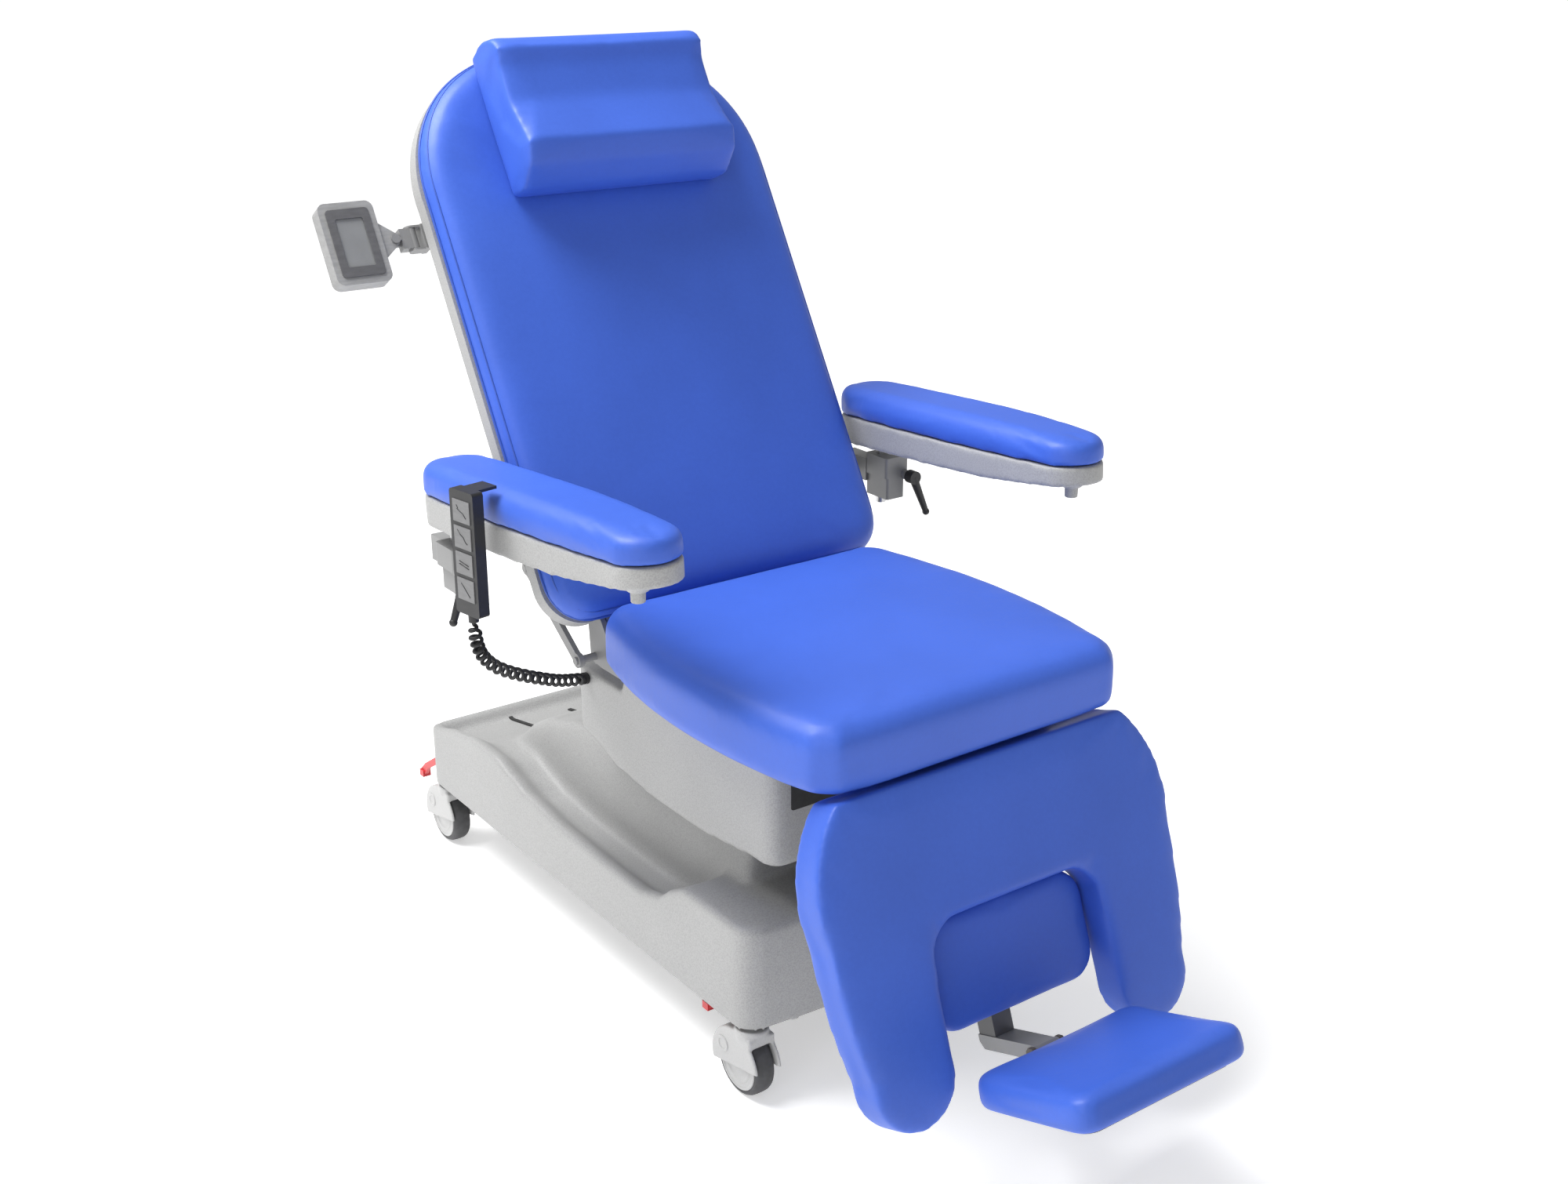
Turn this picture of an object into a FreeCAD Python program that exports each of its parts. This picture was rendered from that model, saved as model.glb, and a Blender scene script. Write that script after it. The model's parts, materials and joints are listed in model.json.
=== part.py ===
"""Patient recliner chair for treatment rooms: a wheeled base with a lifting and tilting seat.

Frame: X across the chair (+X is the patient's left), -Y to the front, +Z up, millimetres.
The origin is on the floor, midway between the four casters. The chair is built at its rest pose.
"""
import FreeCAD, Part
import math
import os

V = FreeCAD.Vector
AXIS_X, AXIS_Y, AXIS_Z = V(1, 0, 0), V(0, 1, 0), V(0, 0, 1)

# Casters and base
WHEEL_RADIUS = 50.0
TREAD_WIDTH = 30.0
CASTER_X = 217.0
AXLE_Y = 463.0
CASTER_TRAIL = 14.0
STEM_RADIUS = 10.0
COVER_HALF_WIDTH = 243.0
COVER_FRONT, COVER_REAR = -497.0, 478.0
COVER_BOW = 15.0
COVER_BOTTOM = 113.0
COVER_CORNER = 28.0
COVER_WALL = 4.0
HUMP_HALF_WIDTH = 153.0
HUMP_FRONT, HUMP_REAR = -385.0, 300.0
HUMP_TOP = 338.0
BRAKE_BAR_Z = 160.0

# Lift and seat
COLUMN_Y = -230.0
TILT_AXIS_Z = 470.0
SEAT_HALF_WIDTH = 290.0
SEAT_FRONT, SEAT_REAR = -690.0, -138.0
SEAT_BOTTOM, SEAT_TOP = 548.0, 640.0
HOUSING_HALF_WIDTH = 190.0
HOUSING_FRONT, HOUSING_REAR = -490.0, 35.0

# Backrest: a plane that leans back by BACK_LEAN and passes through BACK_POINT
BACK_LEAN = 30.5
BACK_POINT = V(0, -74, 650)
BACK_HALF_WIDTH = 298.0
BACK_LOW, BACK_SIDE_TOP, BACK_TOP = -61.0, 590.0, 832.0
CUSHION_FRONT_D, CUSHION_REAR_D = -40.0, 5.0
RECLINE_AXIS = V(0, -75, 590)
RECLINE_PIN_RADIUS = 8.0
LINK_DROP = 60.0

# Leg rest: a plane that leans forward by LEG_LEAN and passes through LEG_POINT
LEG_LEAN = 20.5
LEG_POINT = V(0, -667, 540)
LEG_AXIS = V(0, -657, 588)
NOTCH_HALF_WIDTH = 147.0
RAIL_INNER, RAIL_OUTER = 130.0, 144.0

# Footrest: its bar and foot plate stand square to the leg rest
FOOT_HINGE_D, FOOT_HINGE_S = -28.0, -392.0
FOOT_HINGE = V(0, -830.5, 182.6)
FOOT_HALF_WIDTH = 145.0
FOOT_REAR, FOOT_FRONT = -12.0, -222.0
TUBE_FRONT, TUBE_REAR, TUBE_FOOT = 51.5, 84.5, -382.0

# Armrests
ARM_PIVOT = V(0, 70, 692)
POST_X, POST_Y = 386.0, 5.0
POST_RADIUS = 9.0
ARM_X = 371.0
ARM_RIM_Z = 792.0
ARM_SLOPE = 3.7
ARM_TOE_IN = 1.7
CLAMP_X = 405.0

# Handset and its curly cord
HANDSET_CENTRE = V(-459, -186, 773)
HANDSET_TURN = 10.0
HANDSET_HALF = V(25, 8.5, 86)
COIL_RADIUS = 9.5
CORD_ROUTE = [
    V(-459, -186, 676), V(-459, -186, 640), V(-432, -172, 602), V(-382, -140, 566),
    V(-320, -99, 529), V(-257, -54, 493), V(-200, -10, 468),
]

RUNNING = 0.06
GAP = 0.5


def box(x0, x1, y0, y1, z0, z1):
    return Part.makeBox(x1 - x0, y1 - y0, z1 - z0, V(x0, y0, z0))


def rod(start, end, radius):
    return Part.makeCylinder(radius, start.distanceToPoint(end), start, end - start)


def along_x(x0, x1, y, z, radius):
    return Part.makeCylinder(radius, x1 - x0, V(x0, y, z), AXIS_X)


def fuse(*shapes):
    joined = shapes[0].multiFuse(list(shapes[1:])) if len(shapes) > 1 else shapes[0]
    return joined.removeSplitter()


def mirrored(shape):
    return shape.mirror(V(0, 0, 0), AXIS_X)


def both_sides(shape):
    return [shape, mirrored(shape)]


def prism_x(points, x0, x1):
    """A closed outline of (y, z) points, pulled from x0 to x1."""
    corners = [V(x0, y, z) for y, z in points]
    face = Part.Face(Part.makePolygon(corners + corners[:1]))
    return face.extrude(V(x1 - x0, 0, 0))


def prism_y(points, y0, y1):
    """A closed outline of (x, z) points, pulled from y0 to y1."""
    corners = [V(x, y0, z) for x, z in points]
    face = Part.Face(Part.makePolygon(corners + corners[:1]))
    return face.extrude(V(0, y1 - y0, 0))


def outline_face(edges):
    return Part.Face(Part.Wire(Part.__sortEdges__([edge.toShape() for edge in edges])))


def softened(solid, radius, keep):
    """Rounds the edges that keep() picks, and falls back to a smaller radius."""
    edges = [edge for edge in solid.Edges if keep(edge)]
    for size in (radius, radius * 0.8, radius * 0.6, radius * 0.4):
        try:
            rounded = solid.makeFillet(size, edges)
        except Part.OCCError:
            continue
        if rounded.isValid() and rounded.Volume > 0:
            return rounded
    return solid


def rounded_block(x0, x1, y0, y1, z0, z1, radius):
    """A block with its four upright edges rounded."""
    upright = lambda edge: abs(edge.tangentAt(edge.FirstParameter).z) > 0.99
    return softened(box(x0, x1, y0, y1, z0, z1), radius, upright)


def at_y(level):
    return lambda edge: all(abs(vertex.Y - level) < 0.01 for vertex in edge.Vertexes)


def at_z(level):
    return lambda edge: all(abs(vertex.Z - level) < 0.01 for vertex in edge.Vertexes)


def leaned(shape, angle, point):
    """Takes a shape built upright, with y behind its plane and z along it, to the leaning plane."""
    placed = shape.copy()
    placed.translate(point)
    placed.rotate(point, AXIS_X, -angle)
    return placed


def on_back(shape):
    return leaned(shape, BACK_LEAN, BACK_POINT)


def on_leg(shape):
    return leaned(shape, LEG_LEAN, LEG_POINT)


def local(point, angle, origin):
    """The (distance behind, distance along) of a world point on a leaning plane."""
    y, z = point.y - origin.y, point.z - origin.z
    c, s = math.cos(math.radians(angle)), math.sin(math.radians(angle))
    return y * c - z * s, y * s + z * c


# ---------------------------------------------------------------- casters

def caster_parts(side, end):
    """Housing with its stem and axle, and the wheel of hub and tyre, for one corner."""
    wheel_y = end * AXLE_Y
    stem_y = wheel_y - CASTER_TRAIL
    x = side * CASTER_X
    half_gap, half_width = 17.0, 22.0
    hood = along_x(x - half_width, x + half_width, wheel_y, WHEEL_RADIUS, 55)
    low = prism_x([(wheel_y - 70, 62), (wheel_y + 70, 30), (wheel_y + 70, -20), (wheel_y - 70, -20)],
                  x - 40, x + 40)
    nose = box(x - half_width, x + half_width, stem_y - 24, wheel_y, 70, 104)
    collar = rod(V(x, stem_y, 98), V(x, stem_y, 112), 24)
    space = along_x(x - half_gap, x + half_gap, wheel_y, WHEEL_RADIUS, 51.5)
    mouth = box(x - half_gap, x + half_gap, stem_y - 60, wheel_y, 20, 90)
    stem = rod(V(x, stem_y, 103), V(x, stem_y, 150), STEM_RADIUS)
    axle = along_x(x - half_width, x + half_width, wheel_y, WHEEL_RADIUS, 5)
    housing = fuse(fuse(hood.cut(low), nose, collar).cut(space).cut(mouth), stem, axle)
    tyre = along_x(x - TREAD_WIDTH / 2, x + TREAD_WIDTH / 2, wheel_y, WHEEL_RADIUS, WHEEL_RADIUS)
    tyre = softened(tyre, 5, lambda edge: True)
    disc = along_x(x - 16, x + 16, wheel_y, WHEEL_RADIUS, 41)
    bore = along_x(x - 20, x + 20, wheel_y, WHEEL_RADIUS, 5 + RUNNING)
    wheel = Part.makeCompound([tyre.cut(disc), disc.cut(bore)])
    return {"housing": housing, "wheel": wheel}


# ---------------------------------------------------------------- base

RIM = [(-334, 275), (-276, 226), (-222, 216), (17, 219), (150, 236), (225, 257), (308, 257), (451, 227)]
NOSE_TOP = 274.0
TAIL_TOP = 216.0


def footprint(inset, z0, z1):
    """The base outline seen from above, with a bowed front, pulled between two heights."""
    half, front, rear = COVER_HALF_WIDTH - inset, COVER_FRONT + inset, COVER_REAR - inset
    r = COVER_CORNER - inset
    d = r * (1 - math.sqrt(0.5))
    a, b = V(half - r, front, z0), V(half, front + r, z0)
    c, e = V(half, rear - r, z0), V(half - r, rear, z0)
    flip = lambda p: V(-p.x, p.y, z0)
    edges = [
        Part.Arc(a, V(half - d, front + d, z0), b), Part.LineSegment(b, c),
        Part.Arc(c, V(half - d, rear - d, z0), e), Part.LineSegment(e, flip(e)),
        Part.Arc(flip(e), V(d - half, rear - d, z0), flip(c)), Part.LineSegment(flip(c), flip(b)),
        Part.Arc(flip(b), V(d - half, front + d, z0), flip(a)),
        Part.Arc(flip(a), V(0, front - COVER_BOW, z0), a),
    ]
    return outline_face(edges).extrude(V(0, 0, z1 - z0))


def deck(drop, x0, x1):
    """Everything below the deck line, lowered by drop."""
    top = [(COVER_FRONT - 30, NOSE_TOP - drop)] + [(y, z - drop) for y, z in RIM]
    top.append((COVER_REAR + 10, TAIL_TOP - drop))
    return prism_x(top + [(COVER_REAR + 10, 60), (COVER_FRONT - 30, 60)], x0, x1)


def hump(inset):
    half, top = HUMP_HALF_WIDTH - inset, HUMP_TOP - inset
    front, rear = HUMP_FRONT + inset, HUMP_REAR - inset
    side = prism_x([(front, 180), (front, top), (30, top), (200, top - 22), (rear - 12, top - 50),
                    (rear, top - 75), (rear, 180)], -half, half)
    plan = rounded_block(-half, half, front, rear, 170, 400, 22)
    return side.common(plan)


def base_cover():
    trough_drop = 20.0
    body = footprint(0, COVER_BOTTOM, 300).common(deck(0, -300, 300))
    for x0, x1 in ((HUMP_HALF_WIDTH, 226), (-226, -HUMP_HALF_WIDTH)):
        scoop = box(x0, x1, -334, COVER_REAR - 16, 180, 320).cut(deck(trough_drop, -300, 300))
        body = body.cut(scoop)
    inside = footprint(COVER_WALL, COVER_BOTTOM - 5, 300).common(deck(trough_drop + 6, -300, 300))
    body = fuse(body, hump(0)).cut(inside).cut(hump(COVER_WALL))
    body = body.cut(rounded_block(-122, 122, -361, 11, 240, 400, 12))
    for x in (-225, 225):
        body = body.cut(box(x - 8, x + 8, COVER_REAR - 30, COVER_REAR + 5, 126, 172))
    return body


def brake_bar(stem_y):
    """Hexagonal bar across the base, with a round collar near each end and the link rod's crank."""
    hexagon = []
    for step in range(6):
        turn = math.radians(60 * step)
        hexagon.append((stem_y + 6.9 * math.cos(turn), BRAKE_BAR_Z + 6.9 * math.sin(turn)))
    crank = box(180, 186, stem_y - 8, stem_y + 8, BRAKE_BAR_Z, BRAKE_BAR_Z + 27)
    pin = along_x(174, 186, stem_y, BRAKE_BAR_Z + 20, 3)
    collars = [along_x(x - 5, x + 5, stem_y, BRAKE_BAR_Z, 8) for x in (-155, 155)]
    return fuse(prism_x(hexagon, -228, 228), crank, pin, *collars)


def brake_pedals(stem_y, bar):
    """One red pedal at each end of the bar, reaching back from it and down."""
    side = [(-10, 153), (-10, 168), (12, 168), (84, 122), (102, 106), (102, 94), (92, 94), (76, 114),
            (12, 153)]
    arm = prism_x([(stem_y + out, z) for out, z in side], 221, 228)
    tread = box(216, 231, stem_y + 90, stem_y + 104, 92, 104)
    pedal = fuse(arm, tread).cut(bar)
    return Part.makeCompound(both_sides(pedal))


def brake_link():
    """Flat rod between the two cranks, with a hole for each crank pin."""
    front, rear = -AXLE_Y - CASTER_TRAIL, AXLE_Y - CASTER_TRAIL
    z = BRAKE_BAR_Z + 20
    strip = box(175, 179, front - 10, rear + 10, z - 8, z + 8)
    for y in (front, rear):
        strip = strip.cut(along_x(170, 182, y, z, 4.2))
    return strip


def base_frame():
    """Two long tubes, two cross tubes, a caster socket at each corner and the column's foot plate."""
    pieces = []
    for side in (-1, 1):
        x = side * 120
        pieces.append(box(x - 20, x + 20, -440, 410, 128, 153).cut(box(x - 17, x + 17, -450, 420, 131, 150)))
        for end in (-1, 1):
            stem_y = end * AXLE_Y - CASTER_TRAIL
            socket = rod(V(side * CASTER_X, stem_y, 116), V(side * CASTER_X, stem_y, 148), 13.5)
            pieces.append(socket)
    for y in (-AXLE_Y - CASTER_TRAIL, AXLE_Y - CASTER_TRAIL):
        pieces.append(box(-CASTER_X, CASTER_X, y - 12, y + 12, 122, 147))
        near = y + 12 if y < 0 else y - 12 - 30
        for side in (-1, 1):
            pieces.append(box(side * 120 - 20, side * 120 + 20, near, near + 30, 128, 153))
    pieces.append(box(-140, 140, COLUMN_Y - 90, COLUMN_Y + 90, 118, 128))
    frame = fuse(*pieces)
    for side in (-1, 1):
        for end in (-1, 1):
            stem_y = end * AXLE_Y - CASTER_TRAIL
            x = side * CASTER_X
            frame = frame.cut(rod(V(x, stem_y, 100), V(x, stem_y, 170), STEM_RADIUS + RUNNING))
    return frame


def square_tube(half_x, half_y, wall, z0, z1):
    outer = box(-half_x, half_x, COLUMN_Y - half_y, COLUMN_Y + half_y, z0, z1)
    inner = box(wall - half_x, half_x - wall, COLUMN_Y - half_y + wall, COLUMN_Y + half_y - wall,
                z0 - 1, z1 + 1)
    return outer.cut(inner)


def control_box():
    return rounded_block(-85, 85, 90, 230, 157, 205, 8)


# ---------------------------------------------------------------- lift

def lift_column_inner():
    """Inner tube of the column, with the head that carries the tilt pin."""
    tube = square_tube(57.5, 47.5, 6, 145, 438)
    head = box(-72, 72, COLUMN_Y - 58, COLUMN_Y + 58, 438, 445)
    lugs = []
    for x in (-62, 54):
        lugs.append(prism_x([(COLUMN_Y - 30, 445), (COLUMN_Y - 13, TILT_AXIS_Z + 12),
                             (COLUMN_Y + 13, TILT_AXIS_Z + 12), (COLUMN_Y + 30, 445)], x, x + 8))
    pin = along_x(-62, 62, COLUMN_Y, TILT_AXIS_Z, 8)
    return fuse(tube, head, pin, *lugs)


def lift_shroud():
    outer = rounded_block(-118, 118, -356, 6, 222, 440, 10)
    return outer.cut(rounded_block(-115, 115, -353, 3, 221, 441, 7))


# ---------------------------------------------------------------- seat

def seat_frame():
    """Steel frame under the seat: side tubes, cross tubes, tilt lugs, hinge plates and rail guides."""
    low, high = 517, 541
    pieces = [box(-214, 214, -190, -162, low, high), box(-175, 175, -620, -594, low, high)]
    hinge, link = RECLINE_AXIS, RECLINE_AXIS - V(0, 0, LINK_DROP)
    plate = fuse(
        prism_x([(-190, low), (-190, high), (-131, high), (-93, 594), (-57, 590), (-62, 522), (-90, 517)],
                206, 214),
        along_x(206, 214, hinge.y, hinge.z, 18), along_x(206, 214, link.y, link.z, 12))
    pins = [along_x(195.5, 214, hinge.y, hinge.z, RECLINE_PIN_RADIUS), along_x(206, 249, link.y, link.z, 6)]
    guide = fuse(box(112, 132, -656, -634, 438, 466), box(112, 132, -634, -596, 440, low + 2))
    slot = along_x(117.4, 126.6, LEG_AXIS.y, LEG_AXIS.z, RAIL_OUTER + GAP)
    slot = slot.cut(along_x(117, 127, LEG_AXIS.y, LEG_AXIS.z, RAIL_INNER - GAP))
    side = box(145, 171, -600, -180, low, high)
    lug = prism_x([(COLUMN_Y - 26, low + 2), (COLUMN_Y - 14, TILT_AXIS_Z - 8), (COLUMN_Y, TILT_AXIS_Z - 15),
                   (COLUMN_Y + 14, TILT_AXIS_Z - 8), (COLUMN_Y + 26, low + 2)], 42, 50)
    lug_rail = box(36, 56, -600, -180, low, high)
    for part in (plate, guide.cut(slot), side, lug, lug_rail, *pins):
        pieces += both_sides(part)
    frame = fuse(*pieces)
    return frame.cut(along_x(-60, 60, COLUMN_Y, TILT_AXIS_Z, 8 + RUNNING))


def seat_housing():
    """Moulded cover below the seat, open underneath, with a rounded front."""
    sides = [(HOUSING_FRONT, 350), (-431, 349), (-405, 344), (-302, 334), (-197, 334), (-88, 345),
             (-15, 367), (HOUSING_REAR, 377), (HOUSING_REAR, 480), (-108, 480), (-108, 506), (-205, 506),
             (-205, 541), (HOUSING_FRONT, 541)]
    half = HOUSING_HALF_WIDTH
    outer = prism_x(sides, -half, half).common(
        rounded_block(-half, half, HOUSING_FRONT, HOUSING_REAR, 300, 600, 25))
    hollow = rounded_block(-half + 3, half - 3, HOUSING_FRONT + 3, HOUSING_REAR - 3, 290, 477, 22)
    top_way = rounded_block(-half + 3, half - 3, HOUSING_FRONT + 3, -111, 470, 610, 10)
    shell = outer.cut(hollow).cut(top_way)
    shell = shell.cut(box(-178, 178, HOUSING_FRONT - 5, HOUSING_FRONT + 30, 513, 600))
    shell = shell.cut(box(-36, 36, HOUSING_FRONT - 5, HOUSING_FRONT + 30, 474, 520))
    shell = shell.cut(box(-20, 20, -116, -100, 490, 520))
    shell = shell.cut(box(-150, 150, HOUSING_REAR - 10, HOUSING_REAR + 5, 300, 402))
    shell = shell.cut(box(-166, -131, HOUSING_FRONT - 5, HOUSING_FRONT + 10, 432, 462))
    start, toward = cord_end()
    return shell.cut(rod(start - toward * 12, start + toward * 30, 9.3))


def seat_outline(z, height):
    """Barrel-shaped seat plan, pulled up from z."""
    y_wide = -400
    rear_half, front_half = 253, 260
    corner = 28
    right = [
        Part.Arc(V(front_half, SEAT_FRONT + corner, z), V(SEAT_HALF_WIDTH, y_wide, z),
                 V(rear_half, SEAT_REAR - corner, z)),
        Part.LineSegment(V(rear_half, SEAT_REAR - corner, z), V(rear_half - corner, SEAT_REAR, z)),
    ]
    left = [
        Part.Arc(V(-front_half, SEAT_FRONT + corner, z), V(-SEAT_HALF_WIDTH, y_wide, z),
                 V(-rear_half, SEAT_REAR - corner, z)),
        Part.LineSegment(V(-rear_half, SEAT_REAR - corner, z), V(corner - rear_half, SEAT_REAR, z)),
    ]
    nose = V(front_half - corner, SEAT_FRONT, z)
    front = [
        Part.LineSegment(V(front_half, SEAT_FRONT + corner, z), nose),
        Part.LineSegment(nose, V(-nose.x, nose.y, z)),
        Part.LineSegment(V(-nose.x, nose.y, z), V(-front_half, SEAT_FRONT + corner, z)),
    ]
    rear = [Part.LineSegment(V(rear_half - corner, SEAT_REAR, z), V(corner - rear_half, SEAT_REAR, z))]
    return outline_face(right + left + front + rear).extrude(V(0, 0, height))


def seat_cushion():
    height = SEAT_TOP - SEAT_BOTTOM
    solid = seat_outline(SEAT_BOTTOM, height)
    solid = softened(solid, 32, at_z(SEAT_TOP))
    return softened(solid, 18, lambda edge: at_z(SEAT_BOTTOM)(edge) and edge.CenterOfMass.y < SEAT_REAR - 60)


def seat_board():
    """Plywood under the cushion, with two slots for the leg rest's rails."""
    board = rounded_block(-205, 205, -600, -165, 541.5, 547.5, 30)
    for x in (-122, 122):
        board = board.cut(box(x - 8, x + 8, -601, -500, 540, 549))
    return board


def recline_actuator():
    """Motor and outer tube of the drive that pushes the back frame's lever."""
    tube = rod(V(0, -470, 506), V(0, -330, 506), 20)
    motor = rounded_block(-32, 32, -560, -470, 478, 516.5, 10)
    bore = rod(V(0, -550, 506), V(0, -320, 506), 9 + RUNNING)
    bracket = box(-12, 12, -598, -560, 490, 515)
    hanger = box(-12, 12, -598, -590, 515, 516.9)
    return fuse(tube, motor, bracket, hanger).cut(bore)


def recline_rod():
    """Rod of the drive, ending in a fork that straddles the lever."""
    start, end = -450, -60
    fork = box(-14, 14, end, end + 34, 498, 514).cut(box(-8, 8, end + 8, end + 40, 490, 520))
    return fuse(rod(V(0, start, 506), V(0, end, 506), 9), fork)


def cord_end():
    """Where the cord leaves the housing, and the direction in which it goes in."""
    last, before = CORD_ROUTE[-1], CORD_ROUTE[-2]
    toward = last - before
    return last, toward / toward.Length


def cord_gland():
    start, toward = cord_end()
    return rod(start, start + toward * 20, 9)


# ---------------------------------------------------------------- backrest

def back_outline(inset, d0, d1, low=BACK_LOW):
    """Backrest outline, upright: straight sides, a wide arched top and rounded lower corners."""
    half, side_top, top = BACK_HALF_WIDTH - inset, BACK_SIDE_TOP, BACK_TOP - inset
    shoulder, shoulder_z = 177 - inset / 2, 793 - inset
    mid_x, mid_z = 272 - inset * 0.8, 706 - inset * 0.6
    r = 62
    k = r * (1 - math.sqrt(0.5))
    z0 = low + inset
    point = lambda x, z: V(x, d0, z)
    edges = [
        Part.LineSegment(point(half - r, z0), point(r - half, z0)),
        Part.Arc(point(half, side_top), point(mid_x, mid_z), point(shoulder, shoulder_z)),
        Part.Arc(point(shoulder, shoulder_z), point(0, top), point(-shoulder, shoulder_z)),
        Part.Arc(point(-shoulder, shoulder_z), point(-mid_x, mid_z), point(-half, side_top)),
        Part.LineSegment(point(-half, side_top), point(-half, z0 + r)),
        Part.Arc(point(-half, z0 + r), point(k - half, z0 + k), point(r - half, z0)),
        Part.Arc(point(half - r, z0), point(half - k, z0 + k), point(half, z0 + r)),
        Part.LineSegment(point(half, z0 + r), point(half, side_top)),
    ]
    return outline_face(edges).extrude(V(0, d1 - d0, 0))


def back_cushion():
    solid = back_outline(0, CUSHION_FRONT_D, CUSHION_REAR_D)
    return on_back(softened(solid, 34, at_y(CUSHION_FRONT_D)))


def back_shell():
    """Tray behind the cushion, cut away below around the hinge plates."""
    tray = back_outline(2, CUSHION_REAR_D + GAP, 30).cut(back_outline(16, 12, 31))
    for side in (-1, 1):
        tray = tray.cut(box(side * 196 - 32, side * 196 + 32, 0, 40, BACK_LOW - 5, 14))
    return on_back(tray)


def back_frame():
    """Tube frame behind the shell, with the hinge eyes, the armrest bearings and the recline lever."""
    d0, d1 = 31.0, 56.0
    hinge_d, hinge_s = local(RECLINE_AXIS, BACK_LEAN, BACK_POINT)
    arm_d, arm_s = local(ARM_PIVOT, BACK_LEAN, BACK_POINT)
    swing = math.radians(24.75)
    tip = RECLINE_AXIS + V(0, 93 * math.sin(swing), -93 * math.cos(swing))
    tip_d, tip_s = local(tip, BACK_LEAN, BACK_POINT)
    pieces = []
    for side in (-1, 1):
        inner, outer = sorted((side * 170, side * 195))
        pieces.append(box(inner, outer, d0, d1, -30, 600))
        eye0, eye1 = sorted((side * 195, side * 204))
        web = [(hinge_d - 10, hinge_s), (d0, 20), (d1, 20), (d1, -30), (hinge_d + 15, hinge_s - 10)]
        eye = fuse(along_x(eye0, eye1, hinge_d, hinge_s, 18), prism_x(web, eye0, eye1))
        pieces.append(eye)
        lug0, lug1 = sorted((side * 262, side * 284))
        pieces.append(fuse(box(lug0, lug1, d0, arm_d, arm_s - 17, arm_s + 17),
                           along_x(lug0, lug1, arm_d, arm_s, 17)))
    pieces.append(box(-195, 195, d0, d1, -30, -8))
    pieces.append(box(-284, 284, d0, d1, arm_s - 12, arm_s + 12))
    pieces.append(box(-195, 195, d0, d1, 330, 352))
    pieces.append(box(-195, 195, d0, d1, 575, 600))
    lever = prism_x([(d0, -10), (d1, -10), (tip_d + 10, tip_s), (tip_d, tip_s - 10), (tip_d - 12, tip_s),
                     (d0, -28)], -4, 4)
    frame = fuse(*pieces, lever)
    frame = frame.cut(along_x(-210, 210, hinge_d, hinge_s, RECLINE_PIN_RADIUS + RUNNING))
    return on_back(frame.cut(along_x(-290, 290, arm_d, arm_s, 10 + RUNNING)))


def head_pillow():
    profile = [(-41, 566), (-84, 562), (-124, 584), (-140, 614), (-131, 642), (-116, 690), (-118, 742),
               (-128, 768), (-118, 790), (-86, 800), (-41, 796)]
    return on_back(prism_x(profile, -180, 180))


# ---------------------------------------------------------------- display

DISPLAY_D, DISPLAY_S = 57.0, 561.0
SWING_X = -306.0
ROLL_X = -336.0


def display_bracket():
    """Bar from the back frame to a fork with an upright pin."""
    bar = box(-292, -195, 45, 56, DISPLAY_S - 14, DISPLAY_S + 14)
    block = box(-292, -284, 45, 69, DISPLAY_S - 19, DISPLAY_S + 19)
    ears = []
    for z in (DISPLAY_S - 19, DISPLAY_S + 16):
        ear = box(SWING_X, -286, DISPLAY_D - 9, DISPLAY_D + 9, z, z + 3)
        ears.append(fuse(ear, rod(V(SWING_X, DISPLAY_D, z), V(SWING_X, DISPLAY_D, z + 3), 9)))
    pin = rod(V(SWING_X, DISPLAY_D, DISPLAY_S - 19), V(SWING_X, DISPLAY_D, DISPLAY_S + 19), 3.5)
    return on_back(fuse(bar, block, pin, *ears))


def display_link():
    """Block in the fork, with a tongue that carries the roll pin."""
    low, high = DISPLAY_S - 15.5, DISPLAY_S + 15.5
    block = fuse(rod(V(SWING_X, DISPLAY_D, low), V(SWING_X, DISPLAY_D, high), 8.5),
                 box(-326, SWING_X, DISPLAY_D - 8, DISPLAY_D + 8, low, high))
    block = block.cut(rod(V(SWING_X, DISPLAY_D, low - 5), V(SWING_X, DISPLAY_D, high + 5), 3.5 + RUNNING))
    tongue = box(ROLL_X - 9, -320, DISPLAY_D - 3, DISPLAY_D + 3, DISPLAY_S - 9, DISPLAY_S + 9)
    pin = rod(V(ROLL_X, DISPLAY_D - 11, DISPLAY_S), V(ROLL_X, DISPLAY_D, DISPLAY_S), 4)
    head = rod(V(ROLL_X, DISPLAY_D - 13.5, DISPLAY_S), V(ROLL_X, DISPLAY_D - 11, DISPLAY_S), 7)
    return on_back(fuse(block, tongue, pin, head))


def display_housing():
    x0, x1 = -442, -357
    case = box(x0, x1, DISPLAY_D - 13, DISPLAY_D + 12, DISPLAY_S - 62.5, DISPLAY_S + 62.5)
    case = softened(case, 12, lambda edge: abs(edge.tangentAt(edge.FirstParameter).y) > 0.99)
    plate = prism_y([(-365, DISPLAY_S - 34), (-365, DISPLAY_S + 34), (ROLL_X + 2, DISPLAY_S + 10),
                     (ROLL_X + 10, DISPLAY_S), (ROLL_X + 2, DISPLAY_S - 10)], DISPLAY_D - 10, DISPLAY_D - 4)
    window = box(x0 + 13, x1 - 13, DISPLAY_D - 14, DISPLAY_D - 10, DISPLAY_S - 47, DISPLAY_S + 47)
    hole = rod(V(ROLL_X, DISPLAY_D - 15, DISPLAY_S), V(ROLL_X, DISPLAY_D, DISPLAY_S), 4 + RUNNING)
    return on_back(fuse(case, plate).cut(window).cut(hole))


def display_screen():
    return on_back(box(-428.7, -370.3, DISPLAY_D - 12.5, DISPLAY_D - 10, DISPLAY_S - 46.7, DISPLAY_S + 46.7))


# ---------------------------------------------------------------- armrests

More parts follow.
